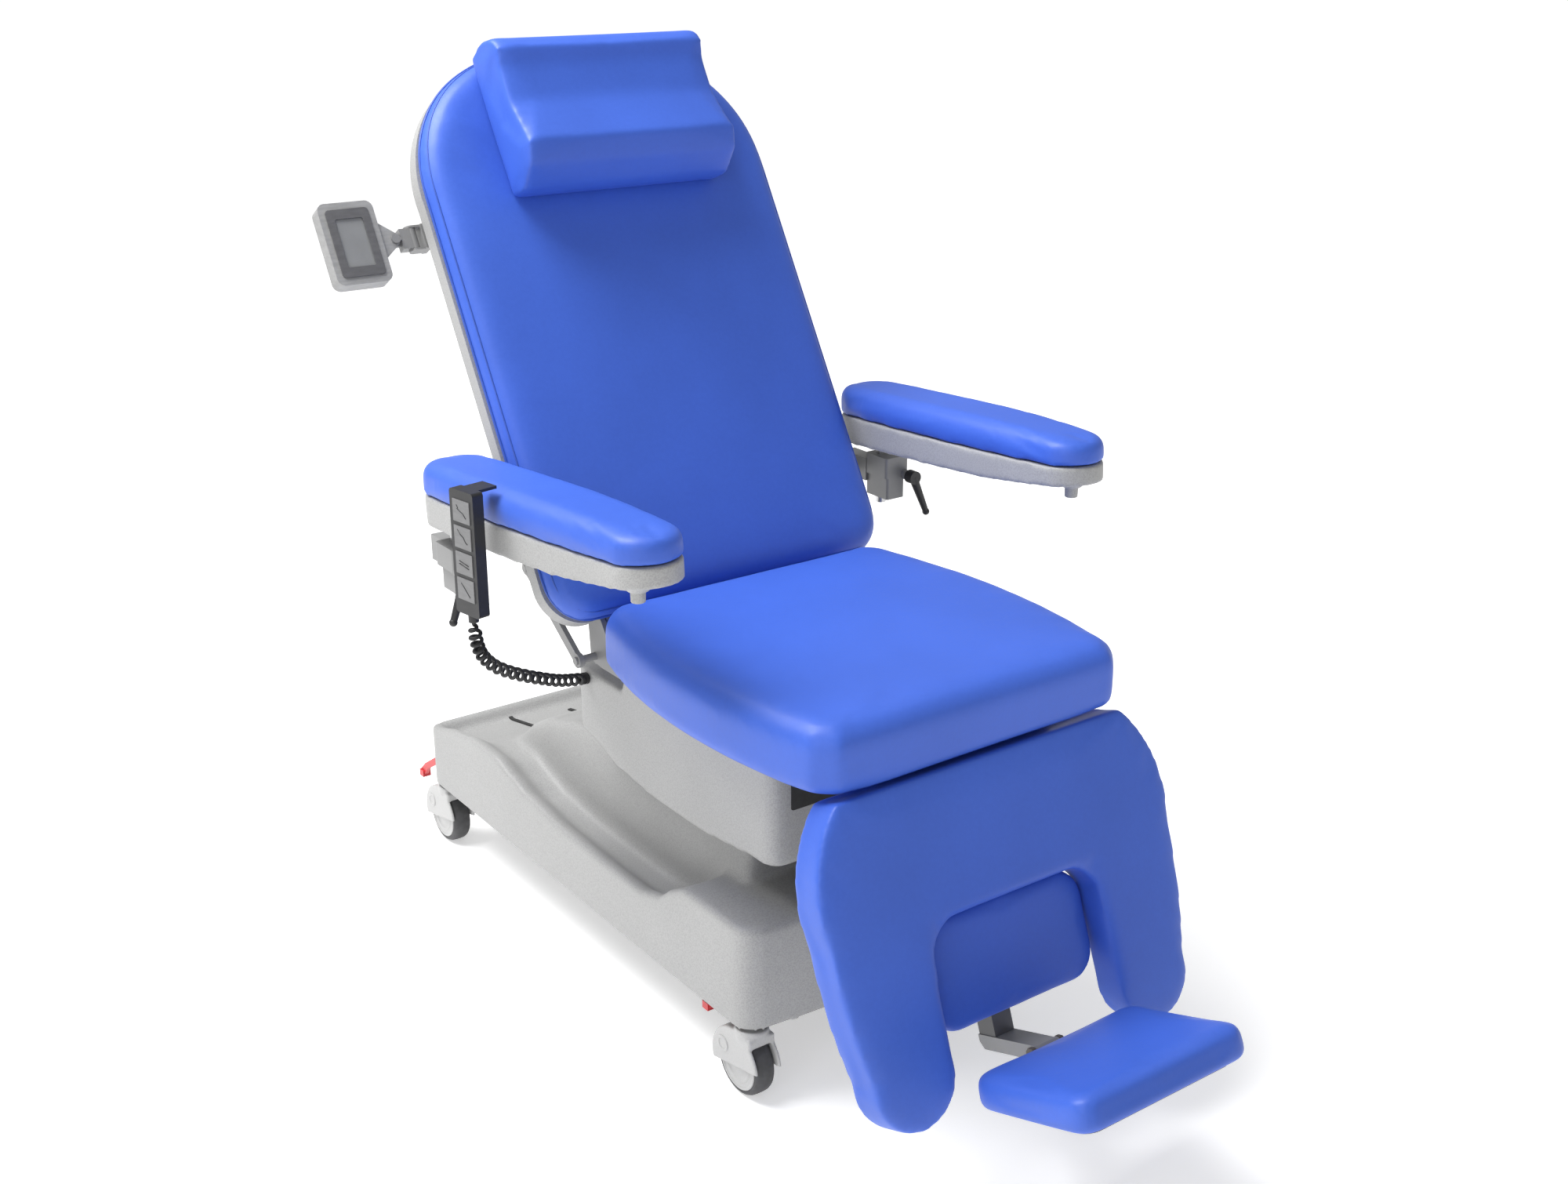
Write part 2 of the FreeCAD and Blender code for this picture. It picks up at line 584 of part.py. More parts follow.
def arm_carrier():
    """Clamp block, cross bar and pivot pin of the left armrest, with the crank for the level link."""
    pivot = ARM_PIVOT
    crank_end = pivot - V(0, 0, LINK_DROP)
    pin = along_x(226, 302, pivot.y, pivot.z, 10)
    bar = box(300, 384, pivot.y - 12, pivot.y + 12, pivot.z - 12, pivot.z + 12)
    neck = box(364, 390, 18, pivot.y + 12, 674, 712)
    block = fuse(rounded_block(CLAMP_X - 40, CLAMP_X + 7, -34, 22, 688, 722, 5),
                 rounded_block(POST_X - 18, POST_X + 18, -34, 22, 652, 700, 4))
    crank = fuse(box(226, 236, pivot.y - 11, pivot.y + 11, crank_end.z, pivot.z),
                 along_x(226, 236, pivot.y, pivot.z, 14), along_x(226, 236, crank_end.y, crank_end.z, 11))
    link_pin = along_x(226, 249, crank_end.y, crank_end.z, 6)
    stub = rod(V(CLAMP_X, -34, 690), V(CLAMP_X, -45, 690), 8)
    clamp_pin = rod(V(CLAMP_X, -40, 690), V(CLAMP_X, -60, 690), 5)
    body = fuse(pin, bar, neck, block, crank, link_pin, stub, clamp_pin)
    return body.cut(rod(V(POST_X, POST_Y, 600), V(POST_X, POST_Y, 730), POST_RADIUS + RUNNING))


def level_link():
    """Flat link from the seat frame to the carrier, parallel to the backrest's swing arm."""
    low = RECLINE_AXIS - V(0, 0, LINK_DROP)
    high = ARM_PIVOT - V(0, 0, LINK_DROP)
    run = high - low
    side = V(0, -run.z, run.y) / run.Length * 8
    corners = [low + side, high + side, high - side, low - side]
    bar = prism_x([(p.y, p.z) for p in corners], 238, 246)
    bar = fuse(bar, along_x(238, 246, low.y, low.z, 11), along_x(238, 246, high.y, high.z, 11))
    for end in (low, high):
        bar = bar.cut(along_x(230, 250, end.y, end.z, 6 + RUNNING))
    return bar


def arm_post():
    return rod(V(POST_X, POST_Y, 638), V(POST_X, POST_Y, 768), POST_RADIUS)


def arm_outline(inset, z0, z1):
    """Long rounded plan of the armrest: two round ends and slightly bulging sides."""
    x, rear_y, front_y = ARM_X, 10.0, -457.0
    rear, front, mid = 53 - inset, 50 - inset, 59 - inset
    edges = [
        Part.Arc(V(x + rear, rear_y, z0), V(x, rear_y + rear, z0), V(x - rear, rear_y, z0)),
        Part.Arc(V(x - rear, rear_y, z0), V(x - mid, -230, z0), V(x - front, front_y, z0)),
        Part.Arc(V(x - front, front_y, z0), V(x, front_y - front, z0), V(x + front, front_y, z0)),
        Part.Arc(V(x + front, front_y, z0), V(x + mid, -230, z0), V(x + rear, rear_y, z0)),
    ]
    return outline_face(edges).extrude(V(0, 0, z1 - z0))


def on_arm(shape):
    """Slopes an armrest shape up towards its front, and turns that front a little inwards."""
    placed = shape.copy()
    placed.rotate(V(0, POST_Y, ARM_RIM_Z), AXIS_X, -ARM_SLOPE)
    placed.rotate(V(ARM_X, POST_Y, 0), AXIS_Z, -ARM_TOE_IN)
    return placed


def arm_shell():
    """Plastic shell under the pad: deeper at the rear, with a boss and a stop pin under the front."""
    body = arm_outline(1.5, ARM_RIM_Z - 50, ARM_RIM_Z)
    under = prism_x([(100, ARM_RIM_Z - 46), (-330, ARM_RIM_Z - 40), (-520, ARM_RIM_Z - 26), (-520, 600),
                     (100, 600)], ARM_X - 80, ARM_X + 80)
    heel = prism_x([(66, ARM_RIM_Z - 8), (44, ARM_RIM_Z - 60), (90, ARM_RIM_Z - 60)], ARM_X - 80, ARM_X + 80)
    knob_x, knob_y = ARM_X + 9, -452
    boss = Part.makeCone(9, 14, 14, V(knob_x, knob_y, ARM_RIM_Z - 44), AXIS_Z)
    knob = rod(V(knob_x, knob_y, ARM_RIM_Z - 54), V(knob_x, knob_y, ARM_RIM_Z - 40), 7)
    shell = on_arm(fuse(body.cut(under).cut(heel), boss, knob))
    socket = rod(V(POST_X, POST_Y, 736), V(POST_X, POST_Y, 775), 16)
    bore = rod(V(POST_X, POST_Y, 730), V(POST_X, POST_Y, 768.5), POST_RADIUS + RUNNING)
    return fuse(shell, socket).cut(bore)


def arm_pad():
    pad = arm_outline(0, ARM_RIM_Z + 0.4, ARM_RIM_Z + 46)
    return on_arm(softened(pad, 20, at_z(ARM_RIM_Z + 46)))


def clamp_lever():
    """Ratchet lever: a round hub and a tapering handle that hangs beside the block."""
    hub = rod(V(CLAMP_X, -45.5, 690), V(CLAMP_X, -62, 690), 11)
    start, end = V(CLAMP_X, -55, 690), V(CLAMP_X + 25, -60, 628)
    handle = Part.makeCone(7.5, 5, start.distanceToPoint(end), start, end - start)
    tip = Part.makeSphere(6, end)
    lever = fuse(hub, handle, tip)
    return lever.cut(rod(V(CLAMP_X, -40, 690), V(CLAMP_X, -60.5, 690), 5 + RUNNING))


# ---------------------------------------------------------------- handset

KEY_NAMES = ["key_back", "key_leg", "key_height", "key_tilt"]
KEY_HALF_WIDTH, KEY_PITCH, KEY_HEIGHT = 18.0, 36.0, 31.0


def on_handset(shape):
    """Takes a shape built facing -Y at the origin to the handset's place on the right armrest."""
    placed = shape.copy()
    placed.rotate(V(0, 0, 0), AXIS_Z, HANDSET_TURN - 90)
    placed.translate(HANDSET_CENTRE)
    return placed


def key_centre(index):
    return 58 - KEY_PITCH * index


def handset_body():
    """Frame of the handset, with the four key wells, the hook and the cord's strain relief."""
    w, t, h = HANDSET_HALF.x, HANDSET_HALF.y, HANDSET_HALF.z
    body = softened(box(-w, w, -t, t, -h, h), 5,
                    lambda edge: abs(edge.tangentAt(edge.FirstParameter).y) > 0.99)
    for index in range(len(KEY_NAMES)):
        z, half = key_centre(index), KEY_HEIGHT / 2
        body = body.cut(box(-KEY_HALF_WIDTH, KEY_HALF_WIDTH, -t - 1, -t + 6, z - half, z + half))
    hook = fuse(box(-15, 15, t - 1, t + 30, h - 4, h), box(-15, 15, t - 1, t + 4, h - 30, h))
    relief = rod(V(0, 0, -h - 11), V(0, 0, -h + 1), 7)
    return on_handset(fuse(body, hook, relief))


def handset_key(index):
    w, t, z = KEY_HALF_WIDTH - 0.4, HANDSET_HALF.y, key_centre(index)
    half = KEY_HEIGHT / 2 - 0.4
    return on_handset(box(-w, w, -t - 1.2, -t + 3, z - half, z + half))


def handset_cord():
    """Outer shape of the curly cord: straight runs joined by tangent arcs."""
    points, edges, length = CORD_ROUTE, [], 0.0
    start = points[0]
    for before, corner, after in zip(points, points[1:], points[2:]):
        back, ahead = before - corner, after - corner
        reach = 0.45 * min(back.Length, ahead.Length)
        turn = math.pi - back.getAngle(ahead)
        print("cord turn %.0f deg, radius %.0f mm" % (math.degrees(turn), reach / math.tan(turn / 2)))
        first = corner + back / back.Length * reach
        last = corner + ahead / ahead.Length * reach
        bisector = (back / back.Length + ahead / ahead.Length).normalize()
        radius = reach / math.tan(turn / 2)
        middle = corner + bisector * (radius / math.cos(turn / 2) - radius)
        edges += [Part.LineSegment(start, first), Part.Arc(first, middle, last)]
        length += start.distanceToPoint(first) + radius * turn
        start = last
    edges.append(Part.LineSegment(start, points[-1]))
    length += start.distanceToPoint(points[-1])
    path = Part.Wire([edge.toShape() for edge in edges])
    circle = Part.Circle(points[0], points[1] - points[0], COIL_RADIUS)
    section = Part.Wire(circle.toShape())
    tube = path.makePipeShell([section], True, False, 1)
    ideal = math.pi * COIL_RADIUS ** 2 * length
    print("cord tube volume / section x length = %.3f, length %.0f mm" % (tube.Volume / ideal, length))
    return tube


# ---------------------------------------------------------------- leg rest

def leg_outline(d0, d1):
    """Arch-shaped leg cushion, upright: swelling sides, round feet and a notch from below."""
    p = lambda x, s: V(x, d0, s)
    top, wide, foot = 2.0, 292.0, -350.0
    n, notch_top, r = NOTCH_HALF_WIDTH, -184.0, 45.0
    k = r * (1 - math.sqrt(0.5))
    right = [
        Part.Arc(p(243, top), p(277, -43), p(wide, -171)),
        Part.Arc(p(wide, -171), p(288, -262), p(272, foot)),
        Part.Arc(p(272, foot), p(207, -424), p(n, foot)),
        Part.LineSegment(p(n, foot), p(n - 5, notch_top - r)),
        Part.Arc(p(n - 5, notch_top - r), p(n - 5 - k, notch_top - k), p(n - 5 - r, notch_top)),
    ]
    left = [
        Part.Arc(p(-243, top), p(-277, -43), p(-wide, -171)),
        Part.Arc(p(-wide, -171), p(-288, -262), p(-272, foot)),
        Part.Arc(p(-272, foot), p(-207, -424), p(-n, foot)),
        Part.LineSegment(p(-n, foot), p(5 - n, notch_top - r)),
        Part.Arc(p(5 - n, notch_top - r), p(5 + k - n, notch_top - k), p(5 + r - n, notch_top)),
    ]
    across = [Part.LineSegment(p(-243, top), p(243, top)),
              Part.LineSegment(p(n - 5 - r, notch_top), p(5 + r - n, notch_top))]
    return outline_face(right + left + across).extrude(V(0, d1 - d0, 0))


def leg_cushion():
    solid = leg_outline(-30, 25)
    return on_leg(softened(solid, 24, lambda edge: at_y(-30)(edge) or at_y(25)(edge)))


def calf_pad():
    pad = box(-141, 141, 2, 25, -339, -185.5)
    pad = softened(pad, 44, lambda edge: abs(edge.tangentAt(edge.FirstParameter).y) > 0.99)
    return on_leg(softened(pad, 9, at_y(2)))


def leg_frame():
    """Board behind the leg cushion, with its curved rails and the socket of the footrest tube."""
    d0, d1 = 25.5, 31.5
    board = [box(-232, 232, d0, d1, -150, -12), box(-118, 118, d0, d1, -325, -150)]
    for side in (-1, 1):
        inner, outer = sorted((side * 168, side * 254))
        board.append(box(inner, outer, d0, d1, -370, -150))
    bore = box(-16.7, 16.7, TUBE_FRONT - 0.2, TUBE_REAR + 0.2, -260, -50)
    socket = box(-19.7, 19.7, TUBE_FRONT - 3.2, TUBE_REAR + 3.2, -250, -60).cut(bore)
    spacers = [box(-19.7, 19.7, d1, TUBE_FRONT - 3.2, s, s + 20) for s in (-250, -80)]
    placed = on_leg(fuse(*board, socket, *spacers))
    rails = []
    for x0 in (118, -126):
        ring = along_x(x0, x0 + 8, LEG_AXIS.y, LEG_AXIS.z, RAIL_OUTER)
        ring = ring.cut(along_x(x0 - 1, x0 + 9, LEG_AXIS.y, LEG_AXIS.z, RAIL_INNER))
        start, end, far = math.radians(-5), math.radians(70), 400
        wedge = [(LEG_AXIS.y, LEG_AXIS.z)]
        for turn in (start, (start + end) / 2, end):
            wedge.append((LEG_AXIS.y + far * math.sin(turn), LEG_AXIS.z - far * math.cos(turn)))
        rails.append(ring.common(prism_x(wedge, x0 - 2, x0 + 10)))
    return fuse(placed, *rails)


def footrest_tube():
    outer = box(-16.5, 16.5, TUBE_FRONT, TUBE_REAR, TUBE_FOOT, -110)
    return on_leg(outer.cut(box(-13.5, 13.5, TUBE_FRONT + 3, TUBE_REAR - 3, TUBE_FOOT + 12, -100)))


def footrest_bar():
    """Flat bar from the foot of the tube to the hinge of the foot plate."""
    d, s, rear = FOOT_HINGE_D, FOOT_HINGE_S, TUBE_REAR + 1.5
    corners = [(d, s - 10), (d, s + 10), (rear, s + 10), (rear, s), (rear - 8, s - 10)]
    bar = fuse(prism_x(corners, -18, 18), along_x(-20, 20, d, s, 10))
    return on_leg(bar.cut(along_x(-30, 30, d, s, 5 + RUNNING)))


def on_foot(shape):
    """Takes a shape built level, with the hinge at the origin, to the tilted foot plate."""
    placed = shape.copy()
    placed.rotate(V(0, 0, 0), AXIS_X, -LEG_LEAN)
    placed.translate(FOOT_HINGE)
    return placed


def foot_board():
    """Board under the foot cushion, with the hinge lugs and pin."""
    board = rounded_block(20 - FOOT_HALF_WIDTH, FOOT_HALF_WIDTH - 20, FOOT_FRONT + 20, FOOT_REAR - 12,
                          -30.5, -26, 20)
    lugs = []
    for x in (-27, 21):
        lugs.append(prism_x([(9, 5), (4, 10), (-4, 10), (-10.5, 4), (-10.5, -26), (-44, -26), (-44, -30.5),
                             (-2, -30.5), (9, -6)], x, x + 6))
    pin = along_x(-27, 27, 0, 0, 5)
    return on_foot(fuse(board, pin, *lugs))


def foot_cushion():
    pad = rounded_block(-FOOT_HALF_WIDTH, FOOT_HALF_WIDTH, FOOT_FRONT, FOOT_REAR, -26, 19.5, 28)
    pad = softened(pad, 15, at_z(19.5))
    return on_foot(softened(pad, 12, at_z(-26)))


# ---------------------------------------------------------------- assembly

def all_nodes():
    nodes = {
        "base_cover": base_cover(),
        "base_frame": base_frame(),
        "control_box": control_box(),
        "lift_column_outer": square_tube(65, 55, 6, 128, 425),
        "lift_column_inner": lift_column_inner(),
        "lift_shroud": lift_shroud(),
        "brake_link_rod": brake_link(),
        "seat_frame": seat_frame(),
        "seat_housing": seat_housing(),
        "seat_board": seat_board(),
        "seat_cushion": seat_cushion(),
        "recline_actuator": recline_actuator(),
        "recline_rod": recline_rod(),
        "cord_gland": cord_gland(),
        "back_frame": back_frame(),
        "back_shell": back_shell(),
        "back_cushion": back_cushion(),
        "head_pillow": head_pillow(),
        "display_bracket": display_bracket(),
        "display_link": display_link(),
        "display_housing": display_housing(),
        "display_screen": display_screen(),
        "leg_frame": leg_frame(),
        "leg_cushion": leg_cushion(),
        "calf_pad": calf_pad(),
        "footrest_tube": footrest_tube(),
        "footrest_bar": footrest_bar(),
        "foot_board": foot_board(),
        "foot_cushion": foot_cushion(),
        "handset_body": handset_body(),
        "handset_cord": handset_cord(),
    }
    for end, name in ((-1, "front"), (1, "rear")):
        stem_y = end * AXLE_Y - CASTER_TRAIL
        bar = brake_bar(stem_y)
        nodes["brake_bar_" + name] = bar
        nodes["brake_pedals_" + name] = brake_pedals(stem_y, bar)
        for side, hand in ((-1, "right"), (1, "left")):
            for piece, shape in caster_parts(side, end).items():
                nodes["caster_%s_%s_%s" % (piece, name, hand)] = shape
    arm = {"arm_carrier": arm_carrier(), "level_link": level_link(), "arm_post": arm_post(),
           "arm_shell": arm_shell(), "arm_pad": arm_pad(), "clamp_lever": clamp_lever()}
    for name, shape in arm.items():
        nodes[name + "_left"], nodes[name + "_right"] = both_sides(shape)
    for index, name in enumerate(KEY_NAMES):
        nodes[name] = handset_key(index)
    return nodes


def write(nodes):
    os.makedirs("parts", exist_ok=True)
    for name, shape in sorted(nodes.items()):
        shape.exportStep("parts/%s.step" % name)
        state = "ok" if shape.isValid() and shape.Volume > 0 else "BAD"
        print("%-28s %-4s %2d solids %9.1f cm3" % (name, state, len(shape.Solids), shape.Volume / 1000))
    print(len(nodes), "nodes")


write(all_nodes())
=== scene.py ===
import json
import math

import bmesh
import bpy
import numpy as np
from mathutils import Matrix, Vector
from mathutils.bvhtree import BVHTree


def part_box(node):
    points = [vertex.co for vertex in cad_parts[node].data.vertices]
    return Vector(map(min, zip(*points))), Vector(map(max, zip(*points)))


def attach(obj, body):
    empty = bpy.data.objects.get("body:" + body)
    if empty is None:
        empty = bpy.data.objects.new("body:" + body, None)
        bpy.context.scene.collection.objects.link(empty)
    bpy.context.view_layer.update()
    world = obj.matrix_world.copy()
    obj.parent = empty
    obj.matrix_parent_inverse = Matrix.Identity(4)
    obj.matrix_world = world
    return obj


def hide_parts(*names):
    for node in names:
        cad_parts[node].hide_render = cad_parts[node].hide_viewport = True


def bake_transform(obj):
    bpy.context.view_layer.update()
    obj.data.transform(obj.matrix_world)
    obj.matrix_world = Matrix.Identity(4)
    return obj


# Looks of the treatment recliner. Metres, +Z up, the patient's feet at -Y, +X the patient's left.

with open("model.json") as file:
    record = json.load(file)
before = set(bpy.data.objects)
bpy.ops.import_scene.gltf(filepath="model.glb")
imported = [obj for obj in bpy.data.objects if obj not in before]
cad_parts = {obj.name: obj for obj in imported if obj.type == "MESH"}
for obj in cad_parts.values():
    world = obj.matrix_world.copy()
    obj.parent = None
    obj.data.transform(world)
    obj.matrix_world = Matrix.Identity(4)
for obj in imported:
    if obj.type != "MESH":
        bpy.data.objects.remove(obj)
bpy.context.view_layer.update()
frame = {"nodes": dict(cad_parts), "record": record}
nodes = frame["nodes"]

SIDES = {"left": 1, "right": -1}
CORNERS = [(end, hand) for end in ("front", "rear") for hand in SIDES]

# Leaning planes of the chair: a point on each, and its lean from upright
BACK_POINT, BACK_LEAN = Vector((0, -0.074, 0.650)), math.radians(30.5)
LEG_POINT, LEG_LEAN = Vector((0, -0.667, 0.540)), math.radians(20.5)
FOOT_HINGE = Vector((0, -0.8305, 0.1826))
HANDSET_TURN = math.radians(-80)

# Curly cord: control points of its centre line, from the handset to the seat housing
CORD_ROUTE = [
    (-0.459, -0.186, 0.676), (-0.459, -0.186, 0.640), (-0.432, -0.172, 0.602), (-0.382, -0.140, 0.566),
    (-0.320, -0.099, 0.529), (-0.257, -0.054, 0.493), (-0.200, -0.010, 0.468),
]
CORD_BODIES = ["handset", "armrest_right", "arm_post_right", "arm_carrier_right", "back", "seat"]
CORD_DIAMETER = 0.0056
COIL_MEAN_RADIUS = 0.0072
COIL_PITCH_START, COIL_PITCH_END = 0.0105, 0.0235
CORD_STEP = 0.0006

# Cloth on the cushions: gas pressure, number of frames, and the stiffness of the cover
CLOTH_PRESSURE = 4.0
CLOTH_FRAMES = 20
CLOTH_STIFFNESS = {"tension_stiffness": 25, "compression_stiffness": 25, "shear_stiffness": 10,
                   "bending_stiffness": 2.0}

# Armrest pads: rise of the rim per metre, and how far and how much the front tip thins
ARM_PAD_SLOPE = 0.0647
TIP_LENGTH, TIP_DROP = 0.26, 0.22

# Studio: the sky's strength, and the floor's glow as (distance from the middle, strength)
SKY_STRENGTH = 0.40
GLOW_NEAR, GLOW_FAR = (1.5, 0.42), (5.0, 0.66)
FLOOR_SIZE = 400


# ---------------------------------------------------------------- small helpers

def smoothstep(a, b, x):
    t = min(1.0, max(0.0, (x - a) / (b - a)))
    return t * t * (3 - 2 * t)


def mix(a, b, t):
    return a + (b - a) * t


def centre_of(node):
    low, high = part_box(node)
    return (low + high) / 2


def linked(name, mesh):
    obj = bpy.data.objects.new(name, mesh)
    bpy.context.scene.collection.objects.link(obj)
    return obj


def from_bmesh(name, bm):
    bmesh.ops.recalc_face_normals(bm, faces=bm.faces)
    mesh = bpy.data.meshes.new(name)
    bm.to_mesh(mesh)
    bm.free()
    return linked(name, mesh)


def applied(obj):
    """Turns the object's modifiers into its mesh."""
    bpy.context.view_layer.update()
    evaluated = obj.evaluated_get(bpy.context.evaluated_depsgraph_get())
    mesh = bpy.data.meshes.new_from_object(evaluated)
    obj.modifiers.clear()
    obj.data = mesh
    return obj


def modified(obj, kind, **settings):
    modifier = obj.modifiers.new(kind.lower(), kind)
    for key, value in settings.items():
        setattr(modifier, key, value)
    return obj


def smooth_shaded(obj):
    obj.data.polygons.foreach_set("use_smooth", [True] * len(obj.data.polygons))
    return obj


def positions(obj):
    co = np.empty(len(obj.data.vertices) * 3)
    obj.data.vertices.foreach_get("co", co)
    return co.reshape(-1, 3)


def set_positions(obj, co):
    obj.data.vertices.foreach_set("co", co.ravel())
    obj.data.update()


def lean_matrix(point, angle):
    """Local frame of a leaning plane: x across, y behind the plane, z up along it."""
    return Matrix.Translation(point) @ Matrix.Rotation(-angle, 4, "X")


BACK = lean_matrix(BACK_POINT, BACK_LEAN)
LEG = lean_matrix(LEG_POINT, LEG_LEAN)
UPRIGHT = Matrix.Identity(4)
FOOT = lean_matrix(FOOT_HINGE, LEG_LEAN)


def finished(obj, body, material, replaces=()):
    obj.data.materials.clear()
    obj.data.materials.append(material)
    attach(obj, body)
    if replaces:
        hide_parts(*replaces)
    return obj


# ---------------------------------------------------------------- materials

def shader(name, roughness, metallic=0.0, coat=0.0, specular=0.5):
    material = bpy.data.materials.new(name)
    material.use_nodes = True
    tree = material.node_tree
    surface = tree.nodes["Principled BSDF"]
    surface.inputs["Roughness"].default_value = roughness
    surface.inputs["Metallic"].default_value = metallic
    surface.inputs["Coat Weight"].default_value = coat
    surface.inputs["Coat Roughness"].default_value = 0.3
    surface.inputs["Specular IOR Level"].default_value = specular
    return material, tree, surface


def texture(tree, kind, scale, stretch=(1, 1, 1), **inputs):
    """A noise or cell texture in the object's own metres."""
    place = tree.nodes.new("ShaderNodeTexCoord")
    mapping = tree.nodes.new("ShaderNodeMapping")
    mapping.inputs["Scale"].default_value = stretch
    node = tree.nodes.new(kind)
    node.inputs["Scale"].default_value = scale
    for key, value in inputs.items():
        node.inputs[key].default_value = value
    tree.links.new(place.outputs["Object"], mapping.inputs["Vector"])
    tree.links.new(mapping.outputs["Vector"], node.inputs["Vector"])
    return node


def ramp(tree, source, low, high, dark, light):
    node = tree.nodes.new("ShaderNodeValToRGB")
    node.color_ramp.elements[0].position = low
    node.color_ramp.elements[1].position = high
    node.color_ramp.elements[0].color = (*dark, 1)
    node.color_ramp.elements[1].color = (*light, 1)
    tree.links.new(source, node.inputs["Fac"])
    return node.outputs["Color"]


def shade_of(colour, factor):
    return tuple(channel * factor for channel in colour)


def layered(tree, base, factor, top):
    node = tree.nodes.new("ShaderNodeMix")
    node.data_type = "RGBA"
    node.blend_type = "MULTIPLY"
    node.inputs["Factor"].default_value = factor
    tree.links.new(base, node.inputs["A"])
    tree.links.new(top, node.inputs["B"])
    return node.outputs["Result"]


def bumped(tree, surface, sources):
    """Adds heights, each (output, strength, depth in metres), to the surface's normal."""
    normal = None
    for output, strength, depth in sources:
        bump = tree.nodes.new("ShaderNodeBump")
        bump.inputs["Strength"].default_value = strength
        bump.inputs["Distance"].default_value = depth
        tree.links.new(output, bump.inputs["Height"])
        if normal is not None:
            tree.links.new(normal, bump.inputs["Normal"])
        normal = bump.outputs["Normal"]
    tree.links.new(normal, surface.inputs["Normal"])


def roughness_range(tree, surface, source, low, high):
    node = tree.nodes.new("ShaderNodeMapRange")
    node.inputs["To Min"].default_value = low
    node.inputs["To Max"].default_value = high
    tree.links.new(source, node.inputs["Value"])
    tree.links.new(node.outputs["Result"], surface.inputs["Roughness"])


def vinyl(name, colour):
    """Coated fabric: a fine leather grain, slow shade changes and a satin top coat."""
    material, tree, surface = shader(name, 0.48, coat=0.05, specular=0.4)
    slow = texture(tree, "ShaderNodeTexNoise", 5.0, Detail=3.0)
    fine = texture(tree, "ShaderNodeTexNoise", 160.0, Detail=4.0)
    cells = texture(tree, "ShaderNodeTexVoronoi", 620.0)
    tint = ramp(tree, slow.outputs["Fac"], 0.3, 0.7, shade_of(colour, 0.93), shade_of(colour, 1.05))
    mottle = ramp(tree, fine.outputs["Fac"], 0.3, 0.7, (0.93, 0.93, 0.95), (1, 1, 1))
    tree.links.new(layered(tree, tint, 0.8, mottle), surface.inputs["Base Color"])
    roughness_range(tree, surface, fine.outputs["Fac"], 0.42, 0.56)
    bumped(tree, surface, [(cells.outputs["Distance"], 0.16, 0.00025), (slow.outputs["Fac"], 0.10, 0.0012)])
    return material


def moulded_plastic(name, colour, fleck=0.82, grain=0.16, roughness=0.52):
    """Spark-textured moulding: fine flecks in the colour and the same fleck in the surface."""
    material, tree, surface = shader(name, roughness)
    slow = texture(tree, "ShaderNodeTexNoise", 4.0, Detail=2.0)
    flecks = texture(tree, "ShaderNodeTexNoise", 520.0, Detail=2.0)
    tint = ramp(tree, slow.outputs["Fac"], 0.3, 0.7, shade_of(colour, 0.95), shade_of(colour, 1.03))
    spots = ramp(tree, flecks.outputs["Fac"], 0.38, 0.58, (fleck,) * 3, (1, 1, 1))
    tree.links.new(layered(tree, tint, 1.0, spots), surface.inputs["Base Color"])
    roughness_range(tree, surface, flecks.outputs["Fac"], roughness - 0.08, roughness + 0.1)
    bumped(tree, surface, [(flecks.outputs["Fac"], grain, 0.0004)])
    return material


def satin_plastic(name, colour, roughness=0.38):
    """Smooth moulding with a faint orange peel and small scuffs."""
    material, tree, surface = shader(name, roughness)
    scuffs = texture(tree, "ShaderNodeTexNoise", 60.0, stretch=(1, 1, 4), Detail=6.0)
    peel = texture(tree, "ShaderNodeTexNoise", 420.0)
    tint = ramp(tree, scuffs.outputs["Fac"], 0.35, 0.75, colour, shade_of(colour, 1.25))
    tree.links.new(tint, surface.inputs["Base Color"])
    roughness_range(tree, surface, scuffs.outputs["Fac"], roughness - 0.06, roughness + 0.14)
    bumped(tree, surface, [(peel.outputs["Fac"], 0.10, 0.0002)])
    return material


def powder_coat(name, colour, roughness=0.45):
    """Painted steel: a fine pebble in the paint, slightly darker in places."""
    material, tree, surface = shader(name, roughness, metallic=0.15)
    pebble = texture(tree, "ShaderNodeTexNoise", 900.0, Detail=2.0)
    slow = texture(tree, "ShaderNodeTexNoise", 12.0, Detail=3.0)
    tint = ramp(tree, slow.outputs["Fac"], 0.3, 0.7, shade_of(colour, 0.9), shade_of(colour, 1.06))
    tree.links.new(tint, surface.inputs["Base Color"])
    roughness_range(tree, surface, slow.outputs["Fac"], roughness - 0.07, roughness + 0.1)
    bumped(tree, surface, [(pebble.outputs["Fac"], 0.2, 0.0002)])
    return material


def brushed_steel(name, colour):
    """Drawn steel with lines along its length."""
    material, tree, surface = shader(name, 0.3, metallic=1.0)
    lines = texture(tree, "ShaderNodeTexNoise", 300.0, stretch=(1, 1, 0.03), Detail=3.0)
    tint = ramp(tree, lines.outputs["Fac"], 0.3, 0.7, shade_of(colour, 0.8), shade_of(colour, 1.1))
    tree.links.new(tint, surface.inputs["Base Color"])
    roughness_range(tree, surface, lines.outputs["Fac"], 0.22, 0.42)
    bumped(tree, surface, [(lines.outputs["Fac"], 0.08, 0.0001)])
    return material


